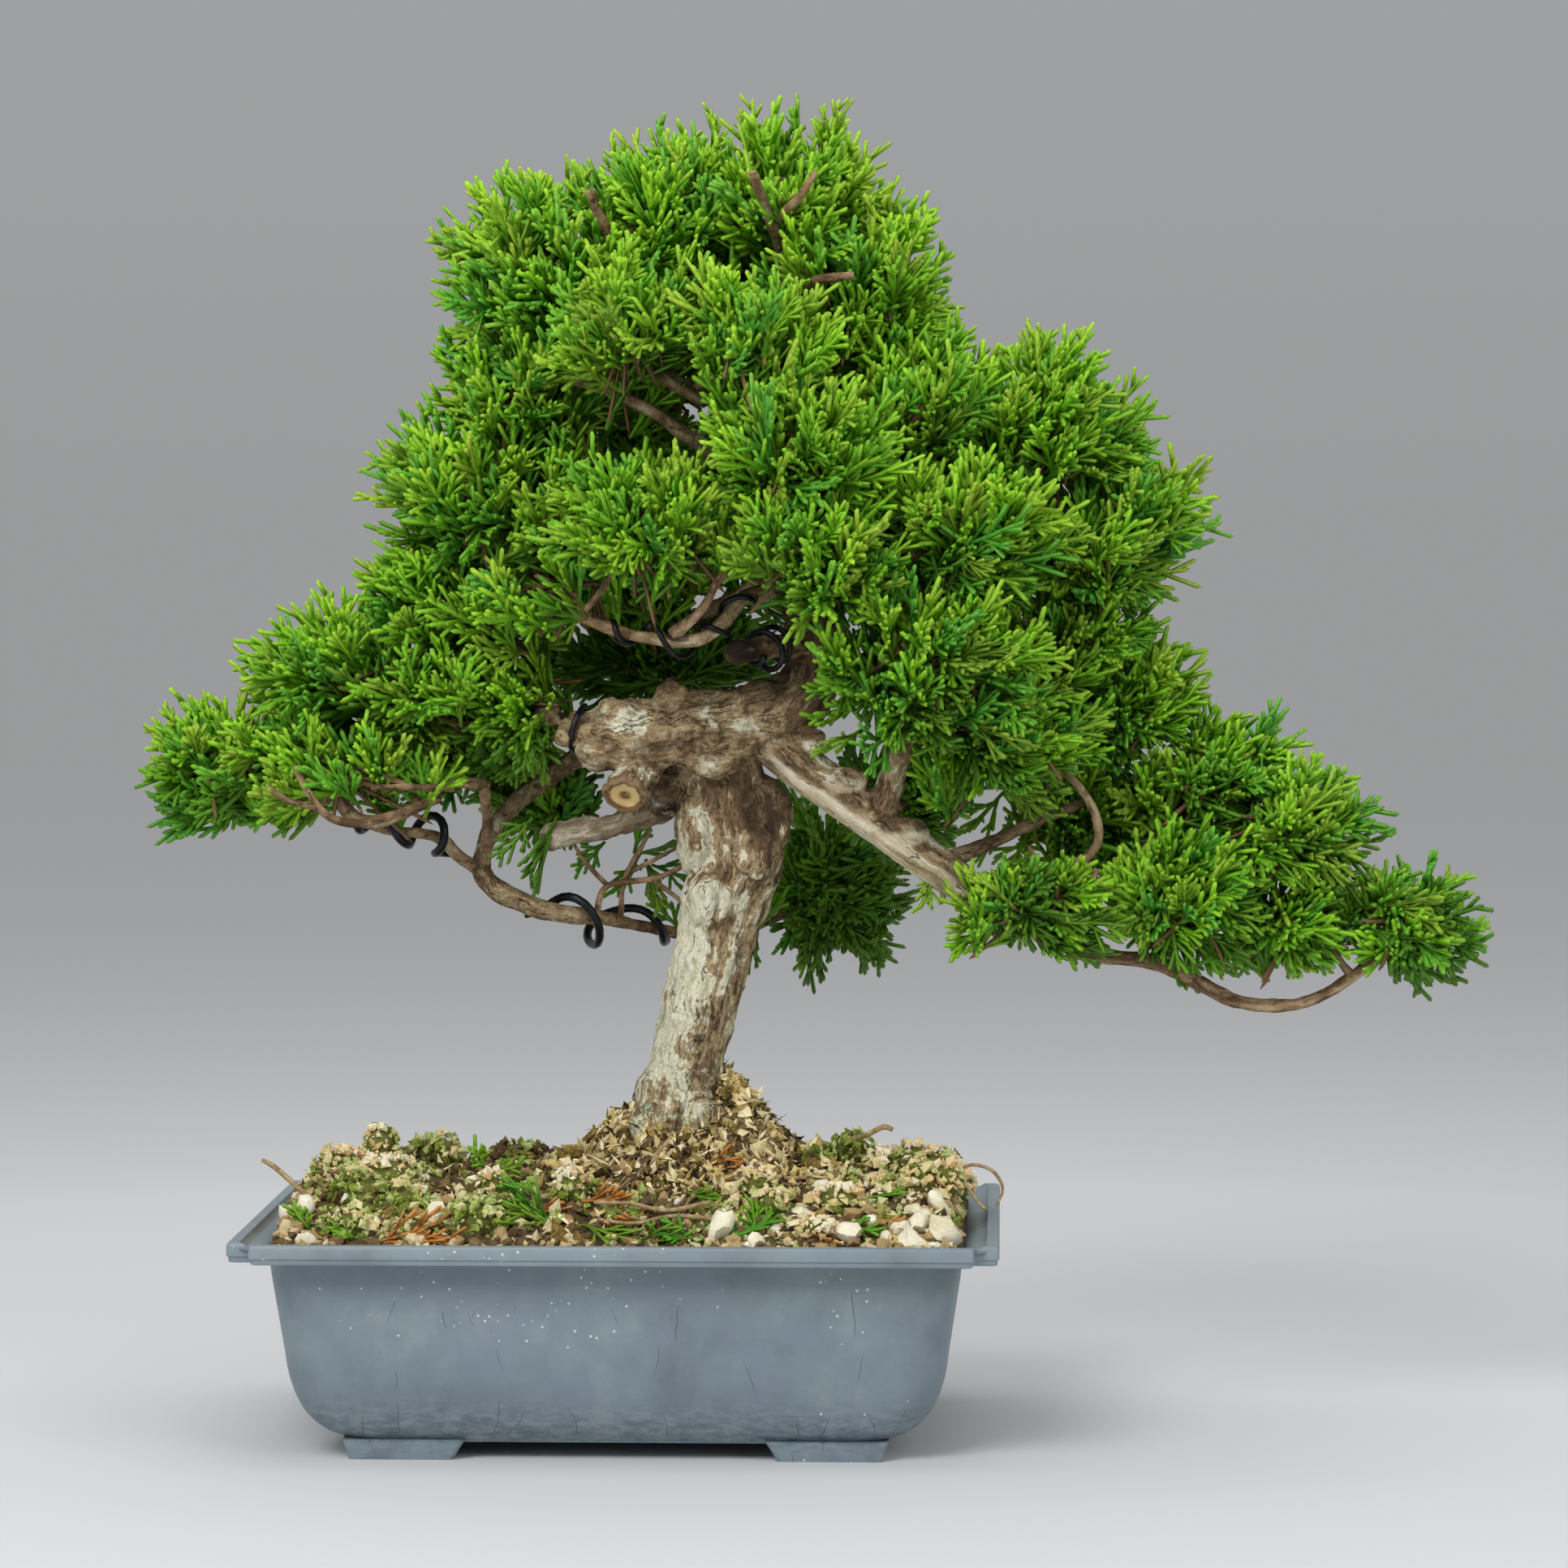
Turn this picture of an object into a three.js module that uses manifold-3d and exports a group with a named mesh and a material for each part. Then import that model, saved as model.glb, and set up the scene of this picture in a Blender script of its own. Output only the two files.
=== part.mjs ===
// An itoigawa juniper bonsai in its moulded training pot.
// Millimetres, +Z up, seen from the front along +Y. While it is built, the zero of X and Y is the
// middle of the pot and Z = 0 is the table. The last lines move the whole so that the zero lies under
// the middle of its outer box.
import * as THREE from "three";
import { mergeVertices } from "three/addons/utils/BufferGeometryUtils.js";
import Module from "manifold-3d";

const wasm = await Module();
wasm.setup();

// Driving dimensions of the pot
const RIM_LENGTH = 250;
const RIM_DEPTH = 190;
const POT_HEIGHT = 72.4;
const LIP_HEIGHT = 6.4;
const LIP_SKIRT = 2.2;
const LIP_TOP = 2.2;
const LIP_FLAT = 4;
const NOTCH_X = 8;
const NOTCH_Y = 7;
const FOOT_HEIGHT = 5.5;
const WALL = 2.6;
const FLOOR = 2.6;
const DRAIN_HOLE = 7;

// Clearances, and what the tree is made of
const GAP = 0.35;
const SOIL_LEVEL = 67;
const HEAP = 18;
const FANS_IN_FRONT = 6;
const FANS_BEHIND = 7;
const BEHIND = 30;
const CORE_SHARE = 0.7;
const FAN_REACH = 1.22;
const FAN_THICK = 2.6;
const FAN_ROOT = 2;
const FAN_LIFT = 0.15;
const WIRE_THICK = 3;
const WIRE_THIN = 2;
const WIRE_SIDES = 4;
const WIRE_OFF = 0.9;
const WIRE_STEPS = 6;
const TWIG_SIDES = 3;
const TWIG_THICK = 2.6;
const TWIG_END = 1.1;
const GRAINS = 15;

// Colours of the pieces
const POT_GREY = 0x6c7780;
const SOIL_BROWN = 0x6f5d45;
const BARK = 0x9a8671;
const WIRE_BLACK = 0x15171a;
const LEAF_GREENS = [0x3f8f2c, 0x4a9c30, 0x35802a];

// A seeded random draw between 0 and 1, the same in every run.
function seeded(seed) {
  let state = seed >>> 0;
  return () => {
    state = (state + 0x6d2b79f5) >>> 0;
    let t = Math.imul(state ^ (state >>> 15), 1 | state);
    t = (t + Math.imul(t ^ (t >>> 7), 61 | t)) ^ t;
    return ((t ^ (t >>> 14)) >>> 0) / 4294967296;
  };
}

// A closed three.js geometry as a solid that can be joined and cut.
function solidOf(geometry) {
  const bare = new THREE.BufferGeometry();
  bare.setAttribute("position", geometry.getAttribute("position"));
  bare.setIndex(geometry.index);
  const merged = mergeVertices(bare, 1e-4);
  const vertProperties = new Float32Array(merged.attributes.position.array);
  const triVerts = new Uint32Array(merged.index.array);
  return new wasm.Manifold(new wasm.Mesh({ numProp: 3, vertProperties, triVerts }));
}

// Joins a list of solids pair by pair.
function joined(solids) {
  let left = solids;
  while (left.length > 1) {
    const next = [];
    for (let i = 0; i < left.length; i += 2) {
      next.push(i + 1 < left.length ? left[i].add(left[i + 1]) : left[i]);
    }
    left = next;
  }
  return left[0];
}

// The biggest body of a solid: what a cut leaves loose beside it is dropped.
function mainBody(solid) {
  const bodies = solid.decompose();
  bodies.sort((a, b) => b.volume() - a.volume());
  return bodies[0];
}

function meshOf(name, solid, color, roughness, metalness = 0) {
  const { vertProperties, triVerts } = solid.getMesh();
  const geometry = new THREE.BufferGeometry();
  geometry.setAttribute("position", new THREE.BufferAttribute(vertProperties, 3));
  geometry.setIndex(new THREE.BufferAttribute(triVerts, 1));
  geometry.computeVertexNormals();
  const material = new THREE.MeshStandardMaterial({ color, roughness, metalness });
  const mesh = new THREE.Mesh(geometry, material);
  mesh.name = name;
  return mesh;
}

// A skin over rings that all have the same number of points, closed by a fan at each end. The rings run
// counter-clockwise seen from where the skin is heading.
function loft(rings) {
  const count = rings[0].length;
  const points = rings.flat();
  const index = [];
  for (let i = 0; i + 1 < rings.length; i++) {
    for (let j = 0; j < count; j++) {
      const a = i * count + j;
      const b = i * count + ((j + 1) % count);
      index.push(a, b, b + count, a, b + count, a + count);
    }
  }
  const first = points.length;
  const last = first + 1;
  const top = (rings.length - 1) * count;
  for (const ring of [rings[0], rings.at(-1)]) {
    points.push(ring.reduce((sum, p) => sum.add(p), new THREE.Vector3()).divideScalar(count));
  }
  for (let j = 0; j < count; j++) {
    const k = (j + 1) % count;
    index.push(first, k, j, last, top + j, top + k);
  }
  const geometry = new THREE.BufferGeometry().setFromPoints(points);
  geometry.setIndex(index);
  return solidOf(geometry);
}

// The pot: a tapered tub with rounded lower edges, a notched lip with a downturned skirt, and four feet.

// A rectangle in plan with rounded corners, four points to a corner.
function roundedRing(halfX, halfY, radius, z) {
  const ring = [];
  const corners = [[1, -1], [1, 1], [-1, 1], [-1, -1]];
  corners.forEach(([sx, sy], corner) => {
    for (let i = 0; i < 4; i++) {
      const angle = ((corner - 1) + i / 3) * (Math.PI / 2);
      const x = sx * (halfX - radius) + radius * Math.cos(angle);
      const y = sy * (halfY - radius) + radius * Math.sin(angle);
      ring.push(new THREE.Vector3(x, y, z));
    }
  });
  return ring;
}

// The lip in plan: a rectangle with a square notch out of each corner, its outer corners eased.
function lipRing(inset, z) {
  const halfX = RIM_LENGTH / 2 - inset;
  const halfY = RIM_DEPTH / 2 - inset;
  const ease = 2;
  const quarter = [
    [halfX - NOTCH_X - ease, -halfY],
    [halfX - NOTCH_X, -halfY + ease],
    [halfX - NOTCH_X, -halfY + NOTCH_Y],
    [halfX - ease, -halfY + NOTCH_Y],
    [halfX, -halfY + NOTCH_Y + ease],
  ];
  const right = [...quarter, ...quarter.map(([x, y]) => [x, -y]).reverse()];
  const all = [...right, ...right.map(([x, y]) => [-x, y]).reverse()];
  return all.map(([x, y]) => new THREE.Vector3(x, y, z));
}

// Half length, half depth, corner radius and height of the tub's outside, from the foot up to the lip.
const TUB = [
  [88, 71, 14, FOOT_HEIGHT],
  [97, 75, 15, 9.5],
  [103.5, 78, 16, 16.5],
  [107.2, 79.5, 16, 26],
  [113, 83, 14, 64.5],
  [122.4, 92.2, 11, POT_HEIGHT - LIP_TOP + 0.4],
];

function wallAt(z, inset) {
  const above = Math.max(1, TUB.findIndex((row) => row[3] >= z));
  const [low, high] = [TUB[above - 1], TUB[above]];
  const share = (z - low[3]) / (high[3] - low[3]);
  const [halfX, halfY, radius] = low.map((value, i) => value + (high[i] - value) * share);
  return roundedRing(halfX - inset, halfY - inset, radius - inset * 0.5, z);
}

function buildPot() {
  const lipBottom = POT_HEIGHT - LIP_HEIGHT;
  const lip = loft([
    lipRing(0.7, lipBottom),
    lipRing(0, lipBottom + 0.7),
    lipRing(0, POT_HEIGHT - 0.7),
    lipRing(0.7, POT_HEIGHT),
  ]);
  const underLip = loft([
    lipRing(LIP_SKIRT, lipBottom - 1),
    lipRing(LIP_SKIRT, POT_HEIGHT - LIP_TOP),
  ]);
  const tub = loft(TUB.map(([x, y, radius, z]) => roundedRing(x, y, radius, z)));
  const inside = loft([
    wallAt(FOOT_HEIGHT + FLOOR, WALL + 2),
    wallAt(11, WALL),
    wallAt(19, WALL),
    wallAt(61.5, WALL),
    roundedRing(RIM_LENGTH / 2 - LIP_FLAT, RIM_DEPTH / 2 - LIP_FLAT, 9, POT_HEIGHT),
    roundedRing(RIM_LENGTH / 2 - LIP_FLAT, RIM_DEPTH / 2 - LIP_FLAT, 9, POT_HEIGHT + 5),
  ]);

  const feet = [];
  for (const sx of [-1, 1]) {
    for (const sy of [-1, 1]) {
      const corner = (x, y, z) => new THREE.Vector3(sx * x, sy * y, z);
      const low = [corner(53, 74, 0), corner(87, 74, 0), corner(87, 46, 0), corner(53, 46, 0)];
      const high = [corner(48, 75, 0), corner(89.5, 75, 0), corner(89.5, 42, 0), corner(48, 42, 0)];
      high.forEach((p) => p.setZ(FOOT_HEIGHT + 1.5));
      const turned = sx * sy < 0 ? [low, high].map((ring) => ring.reverse()) : [low, high];
      feet.push(loft(turned.map((ring) => [...ring].reverse())));
    }
  }

  let pot = joined([lip.subtract(underLip), tub, ...feet]).subtract(inside);
  for (const x of [-55, 0, 55]) {
    for (const y of [-28, 28]) {
      const hole = new THREE.CylinderGeometry(DRAIN_HOLE / 2, DRAIN_HOLE / 2, 4 * FLOOR, 6);
      hole.rotateX(Math.PI / 2).translate(x, y, FOOT_HEIGHT + FLOOR / 2);
      pot = pot.subtract(solidOf(hole));
    }
  }
  return pot;
}

// The wood: every limb is a tapered tube along a smooth curve through points of [x, y, z, radius].
// Its gnarl is how far its skin strays from round, as a share of the radius.
const LIMBS = {
  trunk: {
    sides: 9,
    gnarl: 0.07,
    path: [
      [16, 4, 48, 9], [17, 4, 70, 14], [17, 4, 88, 17], [18, 4, 99, 16.4], [19, 4, 113, 14],
      [20, 4, 125, 12.3], [23, 4, 139, 12.6], [26, 5, 153, 13.1], [29, 6, 166, 13.4],
      [33, 7, 180, 14.3], [36, 8, 192, 14.8], [35, 8, 206, 14.5], [33, 6, 218, 13.1], [33, 2, 231, 12],
      [42, -4, 238, 12.6], [51, -4, 241, 12], [59, -3, 248, 10.4], [63, 0, 258, 8.8], [64, 2, 269, 8.2],
      [64, 3, 281, 7.9], [61, 3, 295, 7.4], [59, 2, 309, 6.8],
    ],
  },
  leader: {
    sides: 6,
    gnarl: 0.07,
    path: [
      [61, 3, 297, 7], [59, 2, 310, 7], [57, 0, 324, 6.3], [55, -1, 340, 5.5], [52, -3, 358, 4.4],
      [51, -4, 380, 3.2], [51, -3, 404, 1.8],
    ],
  },
  limb_left: {
    sides: 8,
    gnarl: 0.12,
    path: [
      [48, -4, 238, 10.5], [35, -6, 237, 12], [21, -9, 236, 11.4], [8, -11, 235, 12.2],
      [-4, -12, 234, 11.7], [-12, -11, 232, 9], [-20, -9, 231, 7],
    ],
  },
  limb_right: {
    sides: 7,
    gnarl: 0.08,
    path: [
      [48, -4, 234, 10.4], [58, -8, 224, 8.2], [70, -10, 215, 7.6], [82, -12, 206, 6.8],
      [94, -12, 197, 6.5], [107, -12, 188, 6.8], [120, -12, 179, 5.2], [132, -12, 171, 3.8],
      [145, -12, 165, 3], [160, -10, 160, 2.7], [176, -8, 158, 2.7], [189, -6, 152, 2.7],
      [203, -4, 145, 2.5], [218, -2, 143, 2.5], [232, 0, 146, 2.2], [243, 0, 153, 2.2],
      [256, 0, 162, 1.4],
    ],
  },
  cut_stub: {
    sides: 8,
    gnarl: 0.03,
    path: [
      [6, -8, 224, 7.4], [3, -18, 219, 7.2], [0, -27, 215, 7.4],
    ],
  },
  jin: {
    sides: 7,
    gnarl: 0.14,
    path: [
      [28, 8, 213, 5], [17, 9, 210, 4.7], [1, 6, 205, 4.1], [-15, 2, 201, 4.3], [-27, -2, 200, 3.6],
    ],
  },
  low_left: {
    sides: 5,
    gnarl: 0.06,
    path: [
      [-4, 0, 232, 5], [-14, 14, 228, 4], [-27, 24, 219, 3.4], [-40, 27, 209, 3.3], [-49, 22, 198, 3.3],
      [-51, 14, 187, 3.3], [-44, 8, 180, 3.6], [-34, 4, 176, 3.6], [-24, 5, 173, 3.3],
      [-12, 15, 171, 2.8], [-2, 30, 168, 2.2], [14, 50, 163, 2], [31, 75, 161, 2], [47, 92, 166, 1.7],
      [61, 95, 174, 1.4],
    ],
  },
  low_left_tip: {
    sides: 5,
    gnarl: 0.05,
    path: [
      [-51, 14, 187, 2.6], [-59, 12, 192, 2.2], [-66, 8, 199, 2.1], [-80, 0, 201, 1.7],
      [-93, -4, 206, 1.4],
    ],
  },
  left_carry: {
    sides: 5,
    gnarl: 0.08,
    path: [
      [-4, 0, 236, 6.4], [-24, 16, 235, 4.6], [-41, 18, 237, 3.9], [-57, 14, 238, 3],
      [-76, 6, 239, 2.5], [-97, 0, 235, 1.9], [-119, 0, 228, 1.6], [-140, 0, 226, 1.3],
    ],
  },
  left_riser: {
    sides: 5,
    gnarl: 0.05,
    path: [
      [-50, 14, 188, 2.1], [-48, 4, 204, 1.9], [-48, -8, 217, 1.9],
    ],
  },
  left_hook: {
    sides: 5,
    gnarl: 0.06,
    path: [
      [-48, -8, 217, 1.9], [-60, -12, 218, 1.9], [-66, -16, 215, 2.2], [-73, -18, 209, 2.4],
      [-84, -20, 205, 2.4], [-92, -20, 208, 2.4], [-97, -18, 216, 2.1], [-104, -14, 225, 1.6],
    ],
  },
  crown_left: {
    sides: 5,
    gnarl: 0.06,
    path: [
      [55, 0, 338, 4], [40, -12, 342, 3.3], [23, -20, 349, 3], [6, -22, 358, 2.7], [-12, -16, 367, 2],
      [-27, -6, 384, 1.4],
    ],
  },
  crown_left_low: {
    sides: 5,
    gnarl: 0.06,
    path: [
      [58, 0, 315, 3.4], [43, -10, 322, 2.5], [26, -18, 331, 2.3], [8, -20, 342, 2],
      [-10, -16, 350, 1.7], [-32, -8, 354, 1.3],
    ],
  },
  mid_left: {
    sides: 5,
    gnarl: 0.05,
    path: [
      [64, 3, 281, 4.6], [51, -15, 282, 3.1], [40, -26, 280, 2.7], [33, -32, 271, 2.5],
      [24, -34, 266, 2.4], [9, -34, 267, 2.1], [-8, -30, 271, 1.9], [-24, -20, 280, 1.5],
      [-42, -10, 298, 1.2],
    ],
  },
  high_stub: {
    sides: 7,
    gnarl: 0.05,
    path: [
      [63, 0, 264, 5], [50, -16, 264, 4], [40, -29, 262, 3.7],
    ],
  },
  right_riser: {
    sides: 6,
    gnarl: 0.08,
    path: [
      [84, -12, 206, 5.6], [88, -15, 216, 4.8], [91, -18, 226, 4.2], [97, -24, 236, 3.2],
      [107, -32, 247, 2.6], [112, -40, 260, 1.8],
    ],
  },
  right_twig: {
    sides: 5,
    gnarl: 0.05,
    path: [
      [107, -10, 192, 3.4], [122, -6, 198, 2.3], [137, 0, 205, 2], [155, 10, 212, 1.9],
      [167, 14, 228, 1.7], [172, 14, 244, 1.3],
    ],
  },
  right_loop: {
    sides: 5,
    gnarl: 0.05,
    path: [
      [120, -12, 182, 3], [142, -16, 189, 2], [153, -15, 193, 1.8], [158, -13, 201, 1.7],
      [154, -16, 213, 1.5], [142, -22, 228, 1.2],
    ],
  },
  shelf: {
    sides: 5,
    gnarl: 0.05,
    path: [
      [176, -8, 158, 2.6], [183, 2, 168, 2.3], [195, 8, 184, 2], [203, 9, 200, 1.7], [201, 9, 216, 1.3],
    ],
  },
  shelf_out: {
    sides: 5,
    gnarl: 0.05,
    path: [
      [195, 8, 184, 1.9], [210, 4, 192, 1.7], [224, -1, 199, 1.3],
    ],
  },
  mid_right: {
    sides: 5,
    gnarl: 0.06,
    path: [
      [59, 2, 306, 4.6], [75, 8, 311, 3.8], [91, 8, 318, 3.6], [110, 4, 325, 3.3], [127, 0, 332, 2.5],
      [142, -2, 341, 1.6],
    ],
  },
  mid_right_low: {
    sides: 5,
    gnarl: 0.05,
    path: [
      [104, 5, 322, 3], [129, 6, 317, 2.7], [149, 4, 308, 2], [162, 2, 304, 1.4],
    ],
  },
  front_right: {
    sides: 5,
    gnarl: 0.05,
    path: [
      [64, 3, 284, 4.4], [78, -14, 286, 3.3], [94, -30, 280, 2.8], [106, -48, 268, 1.6],
    ],
  },
  back_mid: {
    sides: 5,
    gnarl: 0.05,
    path: [
      [58, 1, 315, 4], [53, 35, 318, 3.2], [48, 66, 316, 1.8],
    ],
  },
  back_right: {
    sides: 5,
    gnarl: 0.05,
    path: [
      [64, 2, 273, 4], [76, 28, 281, 3.2], [92, 44, 292, 2.4], [108, 54, 303, 1.6],
    ],
  },
  back_left: {
    sides: 5,
    gnarl: 0.05,
    path: [
      [62, 3, 290, 4], [47, 28, 285, 3.2], [26, 48, 275, 2.4], [8, 58, 264, 1.5],
    ],
  },
};

// Training wires: each winds in a helix round part of one limb.
const WIRES = {
  wire_low_branch: { limb: "low_left", from: 0.47, to: 0.69, turns: 3.6, thick: WIRE_THICK },
  wire_low_tip: { limb: "low_left_tip", from: 0.24, to: 0.97, turns: 3.6, thick: WIRE_THICK },
  wire_mid_branch: { limb: "mid_left", from: 0.2, to: 0.62, turns: 4.2, thick: WIRE_THIN },
  wire_high_stub: { limb: "high_stub", from: 0.42, to: 0.86, turns: 2.4, thick: WIRE_THIN },
  wire_left_limb: { limb: "limb_left", from: 0.9, to: 0.99, turns: 1.25, thick: WIRE_THIN },
  wire_front_right: { limb: "front_right", from: 0.3, to: 0.62, turns: 2.6, thick: WIRE_THIN },
};

// Foliage pads: the middle and the half size of each bunch of sprays.
const PADS = {
  crown_apex: { at: [54, -4, 417], half: [29, 32, 27] },
  crown_upper_left: { at: [11, 0, 410], half: [33, 32, 28] },
  crown_left: { at: [-28, -4, 395], half: [36, 32, 29] },
  crown_left_low: { at: [-38, -6, 355], half: [28, 28, 22] },
  crown_front_left: { at: [2, -40, 374], half: [28, 25, 25] },
  crown_right: { at: [83, -2, 388], half: [25, 32, 29] },
  crown_front: { at: [41, -46, 367], half: [30, 25, 26] },
  crown_back: { at: [35, 50, 391], half: [43, 30, 32] },
  crown_back_right: { at: [77, 48, 359], half: [32, 28, 30] },
  crown_back_left: { at: [-12, 45, 364], half: [35, 28, 30] },
  mid_front: { at: [61, -56, 331], half: [33, 26, 26] },
  mid_right: { at: [101, -12, 348], half: [27, 32, 27] },
  right_lobe_top: { at: [143, -2, 341], half: [33, 34, 29] },
  right_lobe_out: { at: [163, 2, 306], half: [32, 34, 31] },
  right_lobe_front: { at: [117, -45, 303], half: [32, 25, 28] },
  mid_front_low: { at: [64, -62, 297], half: [33, 23, 22] },
  mid_left_front: { at: [10, -50, 309], half: [35, 26, 31] },
  mid_left: { at: [-48, -8, 315], half: [41, 36, 34] },
  mid_left_down: { at: [-62, -4, 279], half: [33, 30, 24] },
  mid_left_low: { at: [-21, -27, 284], half: [38, 22, 14] },
  mid_back: { at: [48, 80, 314], half: [44, 28, 33] },
  mid_back_left: { at: [-6, 60, 306], half: [39, 26, 30] },
  mid_back_right: { at: [113, 56, 306], half: [39, 28, 33] },
  right_front: { at: [104, -52, 262], half: [42, 25, 30] },
  right_front_low: { at: [131, -28, 236], half: [31, 25, 23] },
  right_gap: { at: [153, 0, 269], half: [29, 28, 21] },
  right_behind: { at: [94, 40, 210], half: [26, 22, 19] },
  shelf_top: { at: [174, 14, 245], half: [27, 28, 24] },
  shelf_mid: { at: [198, 10, 218], half: [31, 28, 25] },
  shelf_out: { at: [226, -2, 203], half: [29, 26, 24] },
  shelf_low: { at: [192, -10, 181], half: [32, 28, 24] },
  shelf_low_out: { at: [230, -2, 173], half: [24, 24, 18] },
  shelf_root: { at: [160, 18, 206], half: [26, 24, 21] },
  low_front: { at: [140, -26, 178], half: [34, 18, 16] },
  tip_right: { at: [264, 0, 171], half: [27, 22, 19] },
  left_main: { at: [-91, -4, 251], half: [44, 36, 29] },
  left_tip: { at: [-142, 0, 225], half: [23, 24, 24] },
  left_front: { at: [-101, -22, 225], half: [39, 23, 18] },
  left_inner: { at: [-42, 0, 246], half: [27, 32, 24] },
  left_back: { at: [-65, 40, 232], half: [38, 22, 21] },
  window_back: { at: [3, 62, 261], half: [42, 22, 19] },
  low_back_left: { at: [-38, 50, 209], half: [25, 20, 17] },
  low_back_right: { at: [68, 95, 177], half: [28, 25, 34] },
};

// Points, radii and frames along a limb, evenly in its curve's own parameter.
function samplesAlong(path, count) {
  const curve = new THREE.CatmullRomCurve3(path.map(([x, y, z]) => new THREE.Vector3(x, y, z)));
  const samples = [];
  let across = new THREE.Vector3(0, 1, 0);
  for (let i = 0; i <= count; i++) {
    const t = i / count;
    const at = t * (path.length - 1);
    const low = Math.min(Math.floor(at), path.length - 2);
    const radius = path[low][3] + (path[low + 1][3] - path[low][3]) * (at - low);
    const ahead = curve.getTangent(t);
    across = across.clone().addScaledVector(ahead, -across.dot(ahead)).normalize();
    const up = new THREE.Vector3().crossVectors(ahead, across);
    samples.push({ point: curve.getPoint(t), radius, ahead, across, up });
  }
  return samples;
}

// A limb as a solid. With grow over zero it is that much fatter and longer, as the hole that it needs.
function limbSolid({ path, sides, gnarl }, seed, grow = 0) {
  const draw = seeded(seed);
  const samples = samplesAlong(path, path.length - 1);
  const skin = grow / Math.cos(Math.PI / sides);
  const rings = samples.map(({ point, radius, ahead, across, up }, i) => {
    const slide = i === 0 ? -grow : i === samples.length - 1 ? grow : 0;
    const middle = point.clone().addScaledVector(ahead, slide);
    return Array.from({ length: sides }, (_, j) => {
      const angle = (2 * Math.PI * j) / sides;
      const reach = radius * (1 + gnarl * (2 * draw() - 1)) + skin;
      return middle
        .clone()
        .addScaledVector(across, reach * Math.cos(angle))
        .addScaledVector(up, reach * Math.sin(angle));
    });
  });
  return loft(rings);
}

// A wire: a tube along a helix that clears the limb it is wound on, by WIRE_OFF at its roughest.
function wireSolid({ limb, from, to, turns, thick }, grow = 0) {
  const { path, gnarl } = LIMBS[limb];
  const fine = 240;
  const along = samplesAlong(path, fine);
  const count = Math.round(turns * WIRE_STEPS);
  const points = [];
  for (let i = 0; i <= count; i++) {
    const share = i / count;
    const { point, radius, across, up } = along[Math.round((from + (to - from) * share) * fine)];
    const reach = radius * (1 + gnarl) + thick / 2 + WIRE_OFF;
    const angle = 2 * Math.PI * turns * share;
    points.push(
      point
        .clone()
        .addScaledVector(across, reach * Math.cos(angle))
        .addScaledVector(up, reach * Math.sin(angle)),
    );
  }
  const tube = points.map(({ x, y, z }) => [x, y, z, thick / 2]);
  return limbSolid({ path: tube, sides: WIRE_SIDES, gnarl: 0 }, 1, grow);
}

// A twig to the middle of a pad, sagging a little on its way. It leaves the nearest wood that is thick
// enough, and wood above the pad counts as farther off, because twigs climb.
function twigTo(pad, wood) {
  const end = new THREE.Vector3(...pad.at);
  let best = null;
  for (const sample of wood) {
    const cost = sample.point.distanceTo(end) + 0.6 * Math.max(0, sample.point.z - end.z);
    if (sample.radius > 1.6 && (!best || cost < best.cost)) best = { cost, sample };
  }
  const start = best.sample.point;
  const thick = Math.min(best.sample.radius * 0.75, TWIG_THICK);
  const inside = end.clone().lerp(start, (0.3 * Math.min(...pad.half)) / start.distanceTo(end));
  const middle = start.clone().lerp(inside, 0.5).setZ(start.z * 0.6 + inside.z * 0.4);
  const points = [[start, thick], [middle, thick * 0.75], [inside, TWIG_END]];
  const path = points.map(([p, r]) => [p.x, p.y, p.z, r]);
  return { sides: TWIG_SIDES, gnarl: 0, path };
}

// The limbs, with a twig for each pad that no limb ends in. No twig starts under a wire.
function allLimbs() {
  const limbs = Object.values(LIMBS);
  const beside = 0.08;
  const wood = Object.entries(LIMBS).flatMap(([name, { path }]) => {
    const samples = samplesAlong(path, (path.length - 1) * 4);
    const wound = Object.values(WIRES).filter(({ limb }) => limb === name);
    return samples.filter((_, i) => {
      const t = i / (samples.length - 1);
      return !wound.some(({ from, to }) => t > from - beside && t < to + beside);
    });
  });
  for (const pad of Object.values(PADS)) {
    const middle = new THREE.Vector3(...pad.at);
    const reach = Math.min(...pad.half) * 0.45;
    if (!wood.some(({ point }) => point.distanceTo(middle) < reach)) limbs.push(twigTo(pad, wood));
  }
  return limbs;
}

// The soil: it fills the tub and stands above the wall in a heap, steep at the short walls and sloping
// to the long ones. Mounds and grains stand up from it, and the first mound is packed round the foot
// of the trunk.
const ROOT_MIDDLE = [20, 5];
const MOUNDS = [
  { at: [29, 6], height: 33, spread: [20, 22] },
  { at: [-2, 4], height: 15, spread: [15, 22] },
  { at: [-84, 0], height: 5, spread: [17, 28] },
  { at: [-36, 10], height: 3, spread: [12, 24] },
  { at: [62, 6], height: 3, spread: [16, 26] },
];

// The top of the soil: level along the wall, with the heap, slow waves and the mounds away from it.
function soilHeight(x, y) {
  const { smoothstep } = THREE.MathUtils;
  const inward = smoothstep(113 - Math.abs(x), -6, 10) * smoothstep(82.5 - Math.abs(y), -14, 58);
  let mound = 0.8 * Math.sin(x * 0.23 + 1) * Math.cos(y * 0.19) + 0.8 * Math.sin(x * 0.41 - y * 0.37);
  for (const { at, height, spread } of MOUNDS) {
    mound += height * Math.exp(-(((x - at[0]) / spread[0]) ** 2) - ((y - at[1]) / spread[1]) ** 2);
  }
  return SOIL_LEVEL + (HEAP + mound) * inward;
}

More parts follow.
